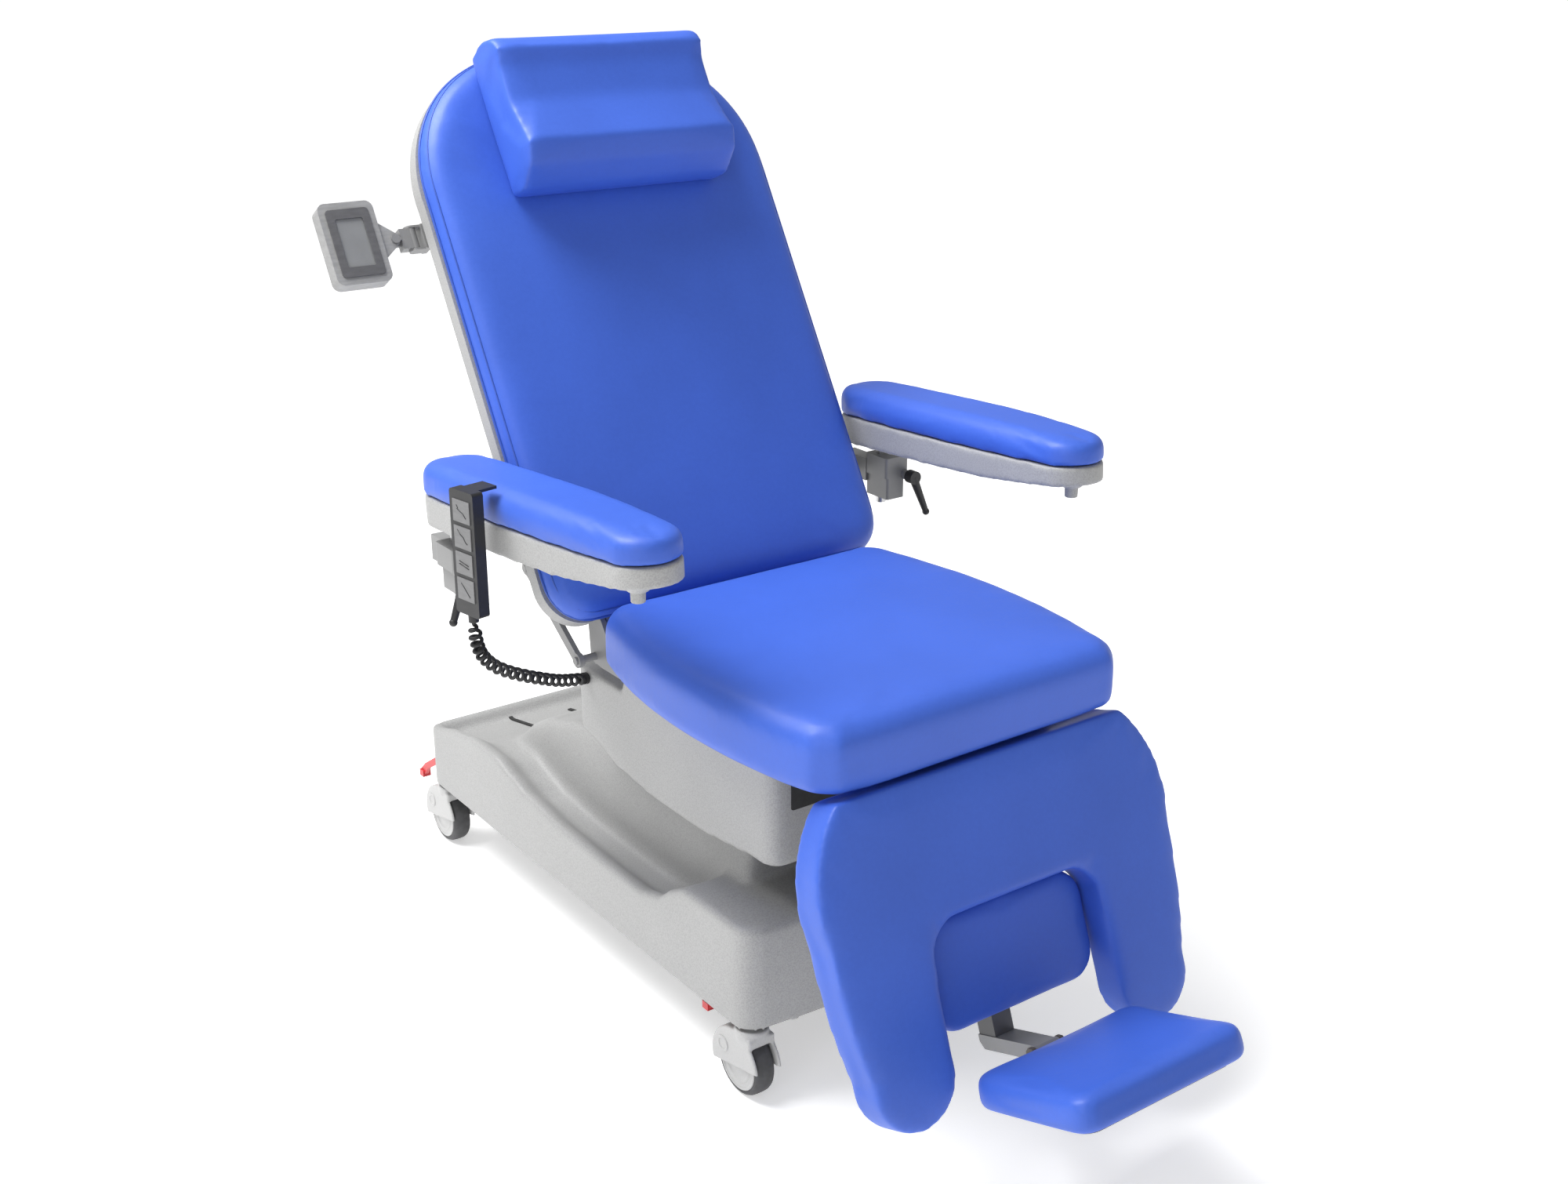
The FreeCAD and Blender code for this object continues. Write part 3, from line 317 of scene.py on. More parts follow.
def rubber(name, colour, roughness=0.6):
    material, tree, surface = shader(name, roughness, specular=0.35)
    dust = texture(tree, "ShaderNodeTexNoise", 90.0, Detail=5.0)
    grain = texture(tree, "ShaderNodeTexNoise", 1100.0)
    tint = ramp(tree, dust.outputs["Fac"], 0.4, 0.8, colour, shade_of(colour, 1.5))
    tree.links.new(tint, surface.inputs["Base Color"])
    roughness_range(tree, surface, dust.outputs["Fac"], roughness - 0.1, roughness + 0.12)
    bumped(tree, surface, [(grain.outputs["Fac"], 0.2, 0.0002)])
    return material


def plywood(name, colour):
    material, tree, surface = shader(name, 0.6)
    veins = texture(tree, "ShaderNodeTexNoise", 90.0, stretch=(1, 0.06, 1), Detail=6.0)
    tint = ramp(tree, veins.outputs["Fac"], 0.3, 0.7, shade_of(colour, 0.7), shade_of(colour, 1.15))
    tree.links.new(tint, surface.inputs["Base Color"])
    bumped(tree, surface, [(veins.outputs["Fac"], 0.2, 0.0003)])
    return material


def dark_window(name, colour):
    """Satin screen window with a faint haze."""
    material, tree, surface = shader(name, 0.22, coat=0.3)
    haze = texture(tree, "ShaderNodeTexNoise", 30.0, Detail=3.0)
    tint = ramp(tree, haze.outputs["Fac"], 0.3, 0.7, shade_of(colour, 0.94), shade_of(colour, 1.05))
    tree.links.new(tint, surface.inputs["Base Color"])
    roughness_range(tree, surface, haze.outputs["Fac"], 0.18, 0.3)
    bumped(tree, surface, [(haze.outputs["Fac"], 0.03, 0.0002)])
    return material


BLUE = (0.045, 0.120, 0.560)
MATERIALS = {
    "upholstery": vinyl("vinyl_blue", BLUE),
    "cover_plastic": moulded_plastic("cover_grey", (0.37, 0.37, 0.367)),
    "caster_wheel": rubber("tread_grey", (0.055, 0.055, 0.057)),
    "shroud_plastic": moulded_plastic("shroud_grey", (0.22, 0.22, 0.22)),
    "painted_steel": powder_coat("steel_grey", (0.24, 0.24, 0.24)),
    "dark_steel": powder_coat("steel_dark", (0.10, 0.10, 0.10)),
    "bright_steel": brushed_steel("steel_bright", (0.58, 0.58, 0.59)),
    "board": plywood("plywood", (0.10, 0.085, 0.07)),
    "pedal_red": satin_plastic("pedal_red", (0.50, 0.035, 0.04)),
    "display_grey": satin_plastic("case_grey", (0.25, 0.25, 0.25), 0.45),
    "display_screen": dark_window("screen_grey", (0.21, 0.215, 0.22)),
    "handset_black": satin_plastic("handset_black", (0.014, 0.014, 0.015), 0.42),
    "key_grey": satin_plastic("key_grey", (0.155, 0.155, 0.158), 0.5),
    "cord_black": rubber("cord_black", (0.014, 0.014, 0.015), 0.5),
}
WELT = vinyl("vinyl_welt", shade_of(BLUE, 0.72))
CASTER_GREY = moulded_plastic("caster_grey", (0.45, 0.45, 0.447), fleck=0.93, grain=0.06, roughness=0.42)
DARK_FRAME = satin_plastic("frame_grey", (0.09, 0.09, 0.094), 0.42)
# Painted shade: near-black rubber laid where slots are, standing in for the shade inside them
SLOT_SHADE = rubber("slot_painted_shade", (0.03, 0.03, 0.03), 0.8)


# ---------------------------------------------------------------- camera, light, floor

def make_camera():
    data = bpy.data.cameras.new("camera")
    data.lens = 41.8
    data.sensor_width = 36.0
    camera = bpy.data.objects.new("camera", data)
    bpy.context.scene.collection.objects.link(camera)
    camera.location = (-1.4456, -2.2473, 1.5552)
    camera.rotation_euler = (math.radians(90 - 20.43), 0, math.radians(-35.94))
    bpy.context.scene.camera = camera


def area_light(name, place, target, size, power):
    data = bpy.data.lights.new(name, "AREA")
    data.size = size
    data.energy = power
    light = bpy.data.objects.new(name, data)
    light.location = place
    light.rotation_euler = (Vector(target) - Vector(place)).to_track_quat("-Z", "Y").to_euler()
    bpy.context.scene.collection.objects.link(light)


def make_studio():
    scene = bpy.context.scene
    scene.view_settings.view_transform = "Standard"
    world = bpy.data.worlds.new("studio")
    world.use_nodes = True
    background = world.node_tree.nodes["Background"]
    background.inputs["Color"].default_value = (1, 1, 1, 1)
    background.inputs["Strength"].default_value = SKY_STRENGTH
    scene.world = world
    area_light("key", place=(-1.5, 0.9, 4.0), target=(0, -0.4, 0.4), size=2.2, power=235)
    area_light("fill", place=(-3.2, -2.6, 2.2), target=(0, -0.4, 0.5), size=2.4, power=30)
    bm = bmesh.new()
    bmesh.ops.create_grid(bm, x_segments=4, y_segments=4, size=FLOOR_SIZE)
    floor = from_bmesh("floor", bm)
    material, tree, surface = shader("floor_white", 0.9)
    speck = texture(tree, "ShaderNodeTexNoise", 3.0)
    tone = ramp(tree, speck.outputs["Fac"], 0.3, 0.7, (0.93, 0.93, 0.93), (0.96, 0.96, 0.96))
    tree.links.new(tone, surface.inputs["Base Color"])
    surface.inputs["Emission Color"].default_value = (1, 1, 1, 1)
    place = tree.nodes.new("ShaderNodeTexCoord")
    reach = tree.nodes.new("ShaderNodeVectorMath")
    reach.operation = "LENGTH"
    tree.links.new(place.outputs["Object"], reach.inputs[0])
    glow = tree.nodes.new("ShaderNodeMapRange")
    for end, (distance, strength) in (("Min", GLOW_NEAR), ("Max", GLOW_FAR)):
        glow.inputs["From " + end].default_value = distance
        glow.inputs["To " + end].default_value = strength
    tree.links.new(reach.outputs["Value"], glow.inputs["Value"])
    tree.links.new(glow.outputs["Result"], surface.inputs["Emission Strength"])
    floor.data.materials.append(material)


# ---------------------------------------------------------------- tubes and turned parts

def sweep(name, line, radius, sides=10, closed=False):
    """A round tube along a line of points, with its ends closed."""
    bm = bmesh.new()
    count = len(line)
    normal = None
    rings = []
    for i, point in enumerate(line):
        before = line[i - 1] if (i or closed) else point
        after = line[(i + 1) % count] if (i < count - 1 or closed) else point
        tangent = (after - before).normalized()
        if normal is None:
            normal = tangent.orthogonal().normalized()
        normal = (normal - tangent * normal.dot(tangent)).normalized()
        across = tangent.cross(normal)
        ring = []
        for k in range(sides):
            turn = 2 * math.pi * k / sides
            ring.append(bm.verts.new(point + (normal * math.cos(turn) + across * math.sin(turn)) * radius))
        rings.append(ring)
    pairs = list(zip(rings, rings[1:]))
    if closed:
        twist = min(range(sides), key=lambda k: (rings[0][k].co - rings[-1][0].co).length)
        pairs.append((rings[-1], rings[0][twist:] + rings[0][:twist]))
    for one, two in pairs:
        for k in range(sides):
            bm.faces.new((one[k], one[(k + 1) % sides], two[(k + 1) % sides], two[k]))
    if not closed:
        bm.faces.new(rings[0])
        bm.faces.new(rings[-1])
    return smooth_shaded(from_bmesh(name, bm))


def turned(name, profile, centre, segments=64):
    """A part turned about the X direction: profile is (x, radius), from one pole to the other."""
    bm = bmesh.new()
    rings = []
    for x, radius in profile:
        ring = []
        for k in range(segments):
            turn = 2 * math.pi * k / segments
            offset = Vector((x, radius * math.cos(turn), radius * math.sin(turn)))
            ring.append(bm.verts.new(centre + offset))
        rings.append(ring)
    for one, two in zip(rings, rings[1:]):
        for k in range(segments):
            bm.faces.new((one[k], one[(k + 1) % segments], two[(k + 1) % segments], two[k]))
    bm.faces.new(rings[0])
    bm.faces.new(rings[-1])
    return from_bmesh(name, bm)


def edge_softened(obj, width=0.0008, segments=2, angle=40):
    modified(obj, "BEVEL", width=width, segments=segments, limit_method="ANGLE",
             angle_limit=math.radians(angle), harden_normals=True)
    smooth_shaded(obj)
    return obj


def plate(name, outline, thickness, matrix, radius=0.0015):
    """A flat piece: (x, z) outline in the matrix's frame, its front face at y 0, rounded edges."""
    bm = bmesh.new()
    front = [bm.verts.new((x, 0, z)) for x, z in outline]
    face = bm.faces.new(front)
    pulled = bmesh.ops.extrude_face_region(bm, geom=[face])
    moved = [item for item in pulled["geom"] if isinstance(item, bmesh.types.BMVert)]
    bmesh.ops.translate(bm, verts=moved, vec=(0, thickness, 0))
    bmesh.ops.transform(bm, matrix=matrix, verts=bm.verts)
    obj = from_bmesh(name, bm)
    edge_softened(obj, radius, 3)
    return applied(obj)


def rounded_rectangle(x0, x1, z0, z1, radius, steps=6):
    points = []
    for cx, cz, start in ((x1 - radius, z1 - radius, 0), (x0 + radius, z1 - radius, 90),
                          (x0 + radius, z0 + radius, 180), (x1 - radius, z0 + radius, 270)):
        for step in range(steps + 1):
            turn = math.radians(start + 90 * step / steps)
            points.append((cx + radius * math.cos(turn), cz + radius * math.sin(turn)))
    return points


# ---------------------------------------------------------------- curly cord

def even_line(points, step):
    """The route's smooth line, as points a step apart."""
    curve = bpy.data.curves.new("cord_route", "CURVE")
    curve.dimensions = "3D"
    curve.resolution_u = 24
    spline = curve.splines.new("NURBS")
    spline.points.add(len(points) - 1)
    for target, point in zip(spline.points, points):
        target.co = (*point, 1)
    spline.order_u = 3
    spline.use_endpoint_u = True
    holder = linked("cord_route", curve)
    bpy.context.view_layer.update()
    mesh = bpy.data.meshes.new_from_object(holder)
    line = np.array([v.co for v in mesh.vertices])
    bpy.data.objects.remove(holder)
    runs = np.linalg.norm(np.diff(line, axis=0), axis=1)
    along = np.concatenate([[0], np.cumsum(runs)])
    stations = np.linspace(0, along[-1], int(along[-1] / step) + 1)
    return [Vector(np.array([np.interp(s, along, line[:, k]) for k in range(3)])) for s in stations], stations


def helix(line, stations):
    """Turns around the line: close together under the handset, wider towards the housing."""
    total = stations[-1]
    normal, turn, last = None, 0.0, 0.0
    points = []
    for i, (point, s) in enumerate(zip(line, stations)):
        before, after = line[max(i - 1, 0)], line[min(i + 1, len(line) - 1)]
        tangent = (after - before).normalized()
        if normal is None:
            normal = tangent.orthogonal().normalized()
        normal = (normal - tangent * normal.dot(tangent)).normalized()
        pitch = mix(COIL_PITCH_START, COIL_PITCH_END, smoothstep(0.03, 0.13, s))
        turn += 2 * math.pi * (s - last) / pitch
        last = s
        radius = COIL_MEAN_RADIUS * smoothstep(0.001, 0.016, s) * smoothstep(0.001, 0.014, total - s)
        across = tangent.cross(normal)
        points.append(point + (normal * math.cos(turn) + across * math.sin(turn)) * radius)
    return points


def make_cord():
    """The coil in pieces, one for each pair of neighbouring bodies along the cord."""
    line, stations = even_line(CORD_ROUTE, CORD_STEP)
    coil = helix(line, stations)
    share = (len(coil) - 1) // (len(CORD_BODIES) - 1)
    for index, (near, far) in enumerate(zip(CORD_BODIES, CORD_BODIES[1:])):
        first = index * share
        last = len(coil) - 1 if far == "seat" else first + share
        path = coil[first:last + 1]
        piece = sweep("handset_cord_%d" % (index + 1), path, CORD_DIAMETER / 2)
        piece.data.materials.append(MATERIALS["cord_black"])
        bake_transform(piece)
        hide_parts("handset_cord")


# ---------------------------------------------------------------- cushions

def inflate(obj, held, cap):
    """Cloth pressure on the cover, held where it is fixed to its board. No point moves more than cap."""
    start = positions(obj)
    group = obj.vertex_groups.new(name="held")
    group.add([int(i) for i in np.nonzero(held(start))[0]], 1.0, "REPLACE")
    cloth = obj.modifiers.new("cloth", "CLOTH")
    settings = cloth.settings
    settings.quality = 4
    settings.mass = 0.25
    for name, value in CLOTH_STIFFNESS.items():
        setattr(settings, name, value)
    settings.use_pressure = True
    settings.uniform_pressure_force = CLOTH_PRESSURE
    settings.vertex_group_mass = "held"
    settings.effector_weights.gravity = 0
    cloth.collision_settings.use_collision = False
    for step in range(1, CLOTH_FRAMES + 1):
        bpy.context.scene.frame_set(step)
    applied(obj)
    bpy.context.scene.frame_set(1)
    moved = positions(obj) - start
    reach = np.linalg.norm(moved, axis=1, keepdims=True)
    eased = cap * np.tanh(reach / cap)
    set_positions(obj, start + moved * (eased / np.maximum(reach, 1e-9)))
    obj.vertex_groups.clear()


def remeshed(obj, matrix, voxel, rounding):
    """Even mesh with softened edges, its grid square to the matrix's frame."""
    obj.data.transform(matrix.inverted())
    applied(modified(obj, "REMESH", mode="VOXEL", voxel_size=voxel))
    applied(modified(obj, "SMOOTH", factor=0.5, iterations=rounding))
    obj.data.transform(matrix)
    return obj


def cushion(name, node, body, voxel, held, matrix=UPRIGHT, rounding=8, cap=0.0025, shape=None):
    """Padded piece from its CAD solid: remeshed, rounded, drawn in a little and blown up again.

    held() picks the points fixed to the board; cap is the furthest a point may swell.
    """
    obj = remeshed(linked(name, nodes[node].data.copy()), matrix, voxel, rounding)
    if shape:
        set_positions(obj, shape(positions(obj)))
    smooth_shaded(obj)
    applied(modified(obj, "DISPLACE", strength=-0.0006, mid_level=0.0))
    inflate(obj, held, cap)
    applied(modified(obj, "SMOOTH", factor=0.5, iterations=3))
    applied(modified(obj, "SUBSURF", levels=1, render_levels=1))
    smooth_shaded(obj)
    finished(obj, body, MATERIALS["upholstery"], [node])
    return obj


def in_frame(matrix, co):
    inverse = np.array(matrix.inverted())
    return co @ inverse[:3, :3].T + inverse[:3, 3]


def behind(matrix, depth):
    """Picks the points further behind a leaning plane than depth."""
    return lambda co: in_frame(matrix, co)[:, 1] > depth


def below(height):
    return lambda co: co[:, 2] < height


def rim_height(node, co, above):
    """Height of an armrest pad's sloping rim under each point, raised by above."""
    low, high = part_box(node)
    return low.z + above + (high.y - co[:, 1]) * ARM_PAD_SLOPE


def thinner_tip(node):
    """Makes an armrest pad lower towards its front tip."""
    low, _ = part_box(node)

    def shape(co):
        reach = np.clip((low.y + TIP_LENGTH - co[:, 1]) / TIP_LENGTH, 0, 1)
        height = np.maximum(co[:, 2] - rim_height(node, co, 0.002), 0)
        shaped = co.copy()
        shaped[:, 2] -= height * TIP_DROP * reach ** 2
        return shaped
    return shape


def welt(name, outline, matrix, surface, body, radius=0.0022, inset=0.0006):
    """Piping laid on a cushion: outline points in the matrix's frame, brought to the surface."""
    tree = BVHTree.FromObject(surface, bpy.context.evaluated_depsgraph_get())
    line = []
    for point in outline:
        place, normal, _, _ = tree.find_nearest(matrix @ Vector(point))
        line.append(place + normal * (radius - inset * 2))
    count = len(line)
    for _ in range(3):
        line = [(line[i - 1] + line[i] * 2 + line[(i + 1) % count]) / 4 for i in range(count)]
    obj = sweep(name, line, radius, sides=8, closed=True)
    return finished(obj, body, WELT)


def back_outline(inset, depth, step=0.012):
    """Backrest outline from its box: straight sides, an arched top, rounded lower corners."""
    half, side_top, top = 0.298 - inset, 0.590, 0.832 - inset
    low, corner = -0.061 + inset, 0.062 - inset * 0.5
    bulge = 2.55

    def rounded(centre_x, turns):
        return [(centre_x + corner * math.cos(turn), depth, low + corner + corner * math.sin(turn))
                for turn in turns]

    points = [(half, depth, z) for z in np.arange(low + corner, side_top, step)]
    for turn in np.linspace(0, math.pi, 60):
        c, s = math.cos(turn), math.sin(turn)
        x = half * math.copysign(abs(c) ** (2 / bulge), c)
        points.append((x, depth, side_top + (top - side_top) * abs(s) ** (2 / bulge)))
    points += [(-half, depth, z) for z in np.arange(side_top, low + corner, -step)]
    points += rounded(corner - half, np.linspace(math.pi, 1.5 * math.pi, 9))
    points += [(x, depth, low) for x in np.arange(corner - half, half - corner, step)]
    points += rounded(half - corner, np.linspace(1.5 * math.pi, 2 * math.pi, 9)[:-1])
    return points


def make_cushions():
    cushion("seat_cushion_cover", "seat_cushion", "seat", voxel=0.007, held=below(0.5505), rounding=4)
    back = cushion("back_cushion_cover", "back_cushion", "back", voxel=0.007, held=behind(BACK, 0.002),
                   matrix=BACK, rounding=5)
    welt("back_welt_outer", back_outline(0.0, -0.006), BACK, back, "back")
    welt("back_welt_inner", back_outline(0.011, -0.024), BACK, back, "back", radius=0.0014)
    cushion("head_pillow_cover", "head_pillow", "pillow", voxel=0.006, held=behind(BACK, -0.0425),
            matrix=BACK, rounding=12)
    cushion("leg_cushion_cover", "leg_cushion", "leg", voxel=0.0055, held=behind(LEG, 0.020),
            matrix=LEG, rounding=4, cap=0.002)
    cushion("calf_pad_cover", "calf_pad", "leg", voxel=0.005, held=behind(LEG, 0.022),
            matrix=LEG, rounding=4, cap=0.0015)
    cushion("foot_cushion_cover", "foot_cushion", "foot_plate", voxel=0.005,
            held=lambda co: in_frame(FOOT, co)[:, 2] < -0.021, matrix=FOOT, rounding=6, cap=0.002)
    for hand in SIDES:
        node = "arm_pad_" + hand
        cushion("arm_pad_cover_" + hand, node, "armrest_" + hand, voxel=0.0045,
                held=lambda co, node=node: co[:, 2] < rim_height(node, co, 0.004),
                rounding=9, cap=0.002, shape=thinner_tip(node))


# ---------------------------------------------------------------- moulded covers

def moulded(name, rows, columns, place, low, high):
    """Closed block over a grid: place(u, v) is the plan point, low and high its two heights."""
    bm = bmesh.new()
    tops, bottoms = [], []
    for i in range(rows + 1):
        top_row, bottom_row = [], []
        for j in range(columns + 1):
            x, y = place(2 * j / columns - 1, i / rows)
            top_row.append(bm.verts.new((x, y, high(x, y))))
            bottom_row.append(bm.verts.new((x, y, low(x, y))))
        tops.append(top_row)
        bottoms.append(bottom_row)
    for i in range(rows):
        for j in range(columns):
            bm.faces.new((tops[i][j], tops[i][j + 1], tops[i + 1][j + 1], tops[i + 1][j]))
            bm.faces.new((bottoms[i][j], bottoms[i + 1][j], bottoms[i + 1][j + 1], bottoms[i][j + 1]))
    for i in range(rows):
        for j in (0, columns):
            bm.faces.new((tops[i][j], tops[i + 1][j], bottoms[i + 1][j], bottoms[i][j]))
    for j in range(columns):
        for i in (0, rows):
            bm.faces.new((tops[i][j], tops[i][j + 1], bottoms[i][j + 1], bottoms[i][j]))
    return from_bmesh(name, bm)


def opened(obj, drop, wall):
    """Removes the faces that drop() picks by centre and normal, and gives the skin a thickness."""
    bm = bmesh.new()
    bm.from_mesh(obj.data)
    doomed = [face for face in bm.faces if drop(face.calc_center_median(), face.normal)]
    bmesh.ops.delete(bm, geom=doomed, context="FACES")
    bm.to_mesh(obj.data)
    bm.free()
    applied(modified(obj, "SOLIDIFY", thickness=wall, offset=-1.0))
    return smooth_shaded(obj)


def rounded_plan(half, front, rear, corner, bow=0.0):
    """Plan of a block with rounded corners, from its rear at v 0 to its front at v 1."""
    def place(u, v):
        y = mix(rear, front, v)
        edge = max(0.0, corner - min(rear - y, y - front))
        width = half - corner + math.sqrt(max(0.0, corner ** 2 - edge ** 2))
        x = u * width
        return x, y - bow * (1 - (x / half) ** 2) * smoothstep(0.7, 1.0, v)
    return place


# The base cover's outer rim from front to rear, as (y, height)
RIM_LINE = [(-0.56, 0.274), (-0.488, 0.274), (-0.400, 0.274), (-0.345, 0.273), (-0.310, 0.256),
            (-0.276, 0.230), (-0.222, 0.216), (-0.108, 0.216), (0.017, 0.219), (0.120, 0.229),
            (0.170, 0.242), (0.225, 0.257), (0.308, 0.257), (0.380, 0.246), (0.451, 0.227), (0.54, 0.214)]
# The hump's top from front to rear, and pairs of where the deck and the hump begin and are full
HUMP_LINE = [(-0.5, 0.338), (0.02, 0.338), (0.12, 0.330), (0.21, 0.305), (0.30, 0.262), (0.34, 0.23)]
DECK_SIDE, DECK_FRONT, DECK_REAR = (0.232, 0.196), (-0.345, -0.290), (0.468, 0.440)
TAIL_START, TAIL_Y, TAIL_HEIGHT, TAIL_FALL = (0.30, 0.36), 0.33, 0.228, 0.2
HUMP_SIDE, HUMP_FRONT, HUMP_REAR = (0.166, 0.140), (-0.392, -0.378), (0.325, 0.27)
DECK_DEPTH = 0.020
OPENING_HALF_WIDTH, OPENING_FRONT, OPENING_REAR = 0.122, -0.361, 0.011
WELL_FLOOR, WELL_CUT = 0.14, 0.262


def eased_line(points, value):
    """A smooth line through a few points."""
    for (x0, z0), (x1, z1) in zip(points, points[1:]):
        if value <= x1:
            return mix(z0, z1, smoothstep(x0, x1, value) * 0.5 + 0.5 * (value - x0) / (x1 - x0))
    return points[-1][1]


def base_height(x, y):
    """Height of the base cover: a waved rim, a scooped deck and the hump around the column."""
    side = abs(x)
    rim = eased_line(RIM_LINE, y)
    between = smoothstep(*DECK_SIDE, side)
    before_rear = smoothstep(*DECK_REAR, y)
    deck = rim - DECK_DEPTH * (between * smoothstep(*DECK_FRONT, y) * before_rear)
    if y > TAIL_START[0]:
        tail = TAIL_HEIGHT - TAIL_FALL * (y - TAIL_Y)
        deck = mix(deck, tail, between * before_rear * smoothstep(*TAIL_START, y))
    top = eased_line(HUMP_LINE, y)
    hump = smoothstep(*HUMP_SIDE, side) * (smoothstep(*HUMP_FRONT, y) * smoothstep(*HUMP_REAR, y))
    return max(deck, mix(deck, top, hump)) if top > deck else deck


def in_opening(x, y, margin=0.0):
    """Whether a plan point lies in the hump's opening for the lift, made smaller by margin."""
    return (abs(x) < OPENING_HALF_WIDTH - margin
            and OPENING_FRONT + margin < y < OPENING_REAR - margin)


def make_base_cover():
    low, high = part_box("base_cover")
    plan = rounded_plan(high.x, low.y + 0.015, high.y, 0.028, bow=0.015)
    top = lambda x, y: WELL_FLOOR if in_opening(x, y, -0.003) else base_height(x, y)
    obj = moulded("base_cover_shell", 200, 100, plan, lambda x, y: low.z, top)
    applied(modified(obj, "REMESH", mode="VOXEL", voxel_size=0.005))
    applied(modified(obj, "SMOOTH", factor=0.5, iterations=9))

    def drop(c, n):
        return c.z < low.z + 0.004 or (in_opening(c.x, c.y, -0.012) and c.z < WELL_CUT)

    opened(obj, drop, wall=0.0035)
    return finished(obj, "base", MATERIALS["cover_plastic"], ["base_cover"])


def laid_strip(name, line, half, surface, body):
    """Thin dark strip that follows a surface, painted shade in place of a slot's opening: line is a list of
    (x, y) points seen from above.
    """
    tree = BVHTree.FromObject(surface, bpy.context.evaluated_depsgraph_get())
    bm = bmesh.new()
    rows = []
    for index, (x, y) in enumerate(line):
        ahead = Vector(line[min(index + 1, len(line) - 1)]) - Vector(line[max(index - 1, 0)])
        across = Vector((ahead.y, -ahead.x)).normalized() * half
        row = []
        for side in (-1, 1):
            above = Vector((x + side * across.x, y + side * across.y, 0.45))
            top = tree.ray_cast(above, Vector((0, 0, -1)))[0]
            row.append(bm.verts.new(top + Vector((0, 0, 0.0012))))
        rows.append(row)
    for one, two in zip(rows, rows[1:]):
        bm.faces.new((one[0], one[1], two[1], two[0]))
    obj = from_bmesh(name, bm)
    applied(modified(obj, "SOLIDIFY", thickness=0.003, offset=0.0))
    return finished(obj, body, SLOT_SHADE)


def make_deck_slots(cover):
    """Long drain slots on the rear deck, one in the middle and one to each side, drawn as dark strips of
    painted shade on the surface.
    """
    for name, x, start in (("left", 0.096, 0.358), ("middle", 0.0, 0.315), ("right", -0.096, 0.358)):
        line = [(x, start + 0.09 * step / 12) for step in range(13)]
        laid_strip("deck_slot_shade_" + name, line, 0.0032, cover, "base")


# The seat housing's lower edge from front to rear, as (y, height)
HOUSING_UNDER = [(-0.50, 0.350), (-0.431, 0.349), (-0.405, 0.344), (-0.302, 0.334), (-0.197, 0.334),
                 (-0.088, 0.345), (-0.015, 0.367), (0.05, 0.379)]
# Its top from front to rear: each height holds up to its y
HOUSING_STEPS = [(-0.205, 0.541), (-0.108, 0.506), (math.inf, 0.480)]
# Cut-outs: the recline rod's half width, front, rear and lowest point; the rear one's half width,
# depth and highest point
ROD_HALF, ROD_FRONT, ROD_REAR, ROD_LOW = 0.026, -0.135, -0.055, 0.470
CUT_HALF, CUT_DEPTH, CUT_TOP = 0.150, 0.014, 0.404


def make_seat_housing():
    """Moulded cover under the seat, in three steps of height, with a dark plate of painted shade for the slot
    in its front.
    """
    low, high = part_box("seat_housing")
    plan = rounded_plan(high.x, low.y, high.y, 0.025)
    under = lambda x, y: eased_line(HOUSING_UNDER, y)
    over = lambda x, y: next(height for end, height in HOUSING_STEPS if y < end)
    obj = moulded("seat_housing_shell", 130, 90, plan, under, over)
    applied(modified(obj, "REMESH", mode="VOXEL", voxel_size=0.0045))
    applied(modified(obj, "SMOOTH", factor=0.5, iterations=7))

    def drop(c, n):
        """The open underside and top, the way of the recline rod, and the rear cut-out."""
        inside = abs(c.x) < high.x - 0.012 and low.y + 0.012 < c.y < high.y - 0.012
        within_walls = abs(c.x) < high.x - 0.006 and low.y + 0.006 < c.y
        underside = n.z < -0.6 and within_walls
        topside = n.z > 0.6 and c.y < -0.10 and inside
        rod_way = abs(c.x) < ROD_HALF and ROD_FRONT < c.y < ROD_REAR and c.z > ROD_LOW
        rear_way = abs(c.x) < CUT_HALF and c.y > high.y - CUT_DEPTH and c.z < CUT_TOP
        return underside or topside or rod_way or rear_way

    opened(obj, drop, wall=0.003)
    finished(obj, "seat", MATERIALS["cover_plastic"], ["seat_housing"])
    # The slot is a thin dark plate on the front face: painted shade, not an opening.
    outline = rounded_rectangle(-0.160, 0.160, 0.432, 0.478, 0.004)
    slot = plate("housing_slot_shade", outline, 0.003, Matrix.Translation((0, low.y - 0.0012, 0)), radius=0.0006)
    finished(slot, "seat", SLOT_SHADE)


def soft_edged(name, node, body, voxel, rounding, material):
    """A moulding with its CAD shape and softer edges."""
    obj = linked(name, nodes[node].data.copy())
    applied(modified(obj, "REMESH", mode="VOXEL", voxel_size=voxel))
    applied(modified(obj, "SMOOTH", factor=0.5, iterations=rounding))
    smooth_shaded(obj)
    return finished(obj, body, material, [node])


# ---------------------------------------------------------------- casters

# Profiles of turned parts: (distance along the axle, radius); the shoulder's from the tyre's side
TYRE_HALF_WIDTH = 0.015
TYRE_SHOULDER = [(0.0, 0.0405), (0.0006, 0.045), (-0.0018, 0.0478), (-0.0055, 0.0495)]
DISC_PROFILE = [(0.006, 0.0408), (0.0158, 0.0408), (0.0168, 0.040), (0.0168, 0.0372), (0.0157, 0.0362),
                (0.0156, 0.0300), (0.0163, 0.0290), (0.0163, 0.0262), (0.0156, 0.0250),
                (0.0155, 0.0140), (0.0160, 0.0130), (0.0160, 0.0060), (0.0166, 0.0052)]
CAP_PROFILE = [(0, 0.0125), (0.0022, 0.0125), (0.0032, 0.0115), (0.0032, 0.0085), (0.0022, 0.0078),
               (0.0022, 0.001)]


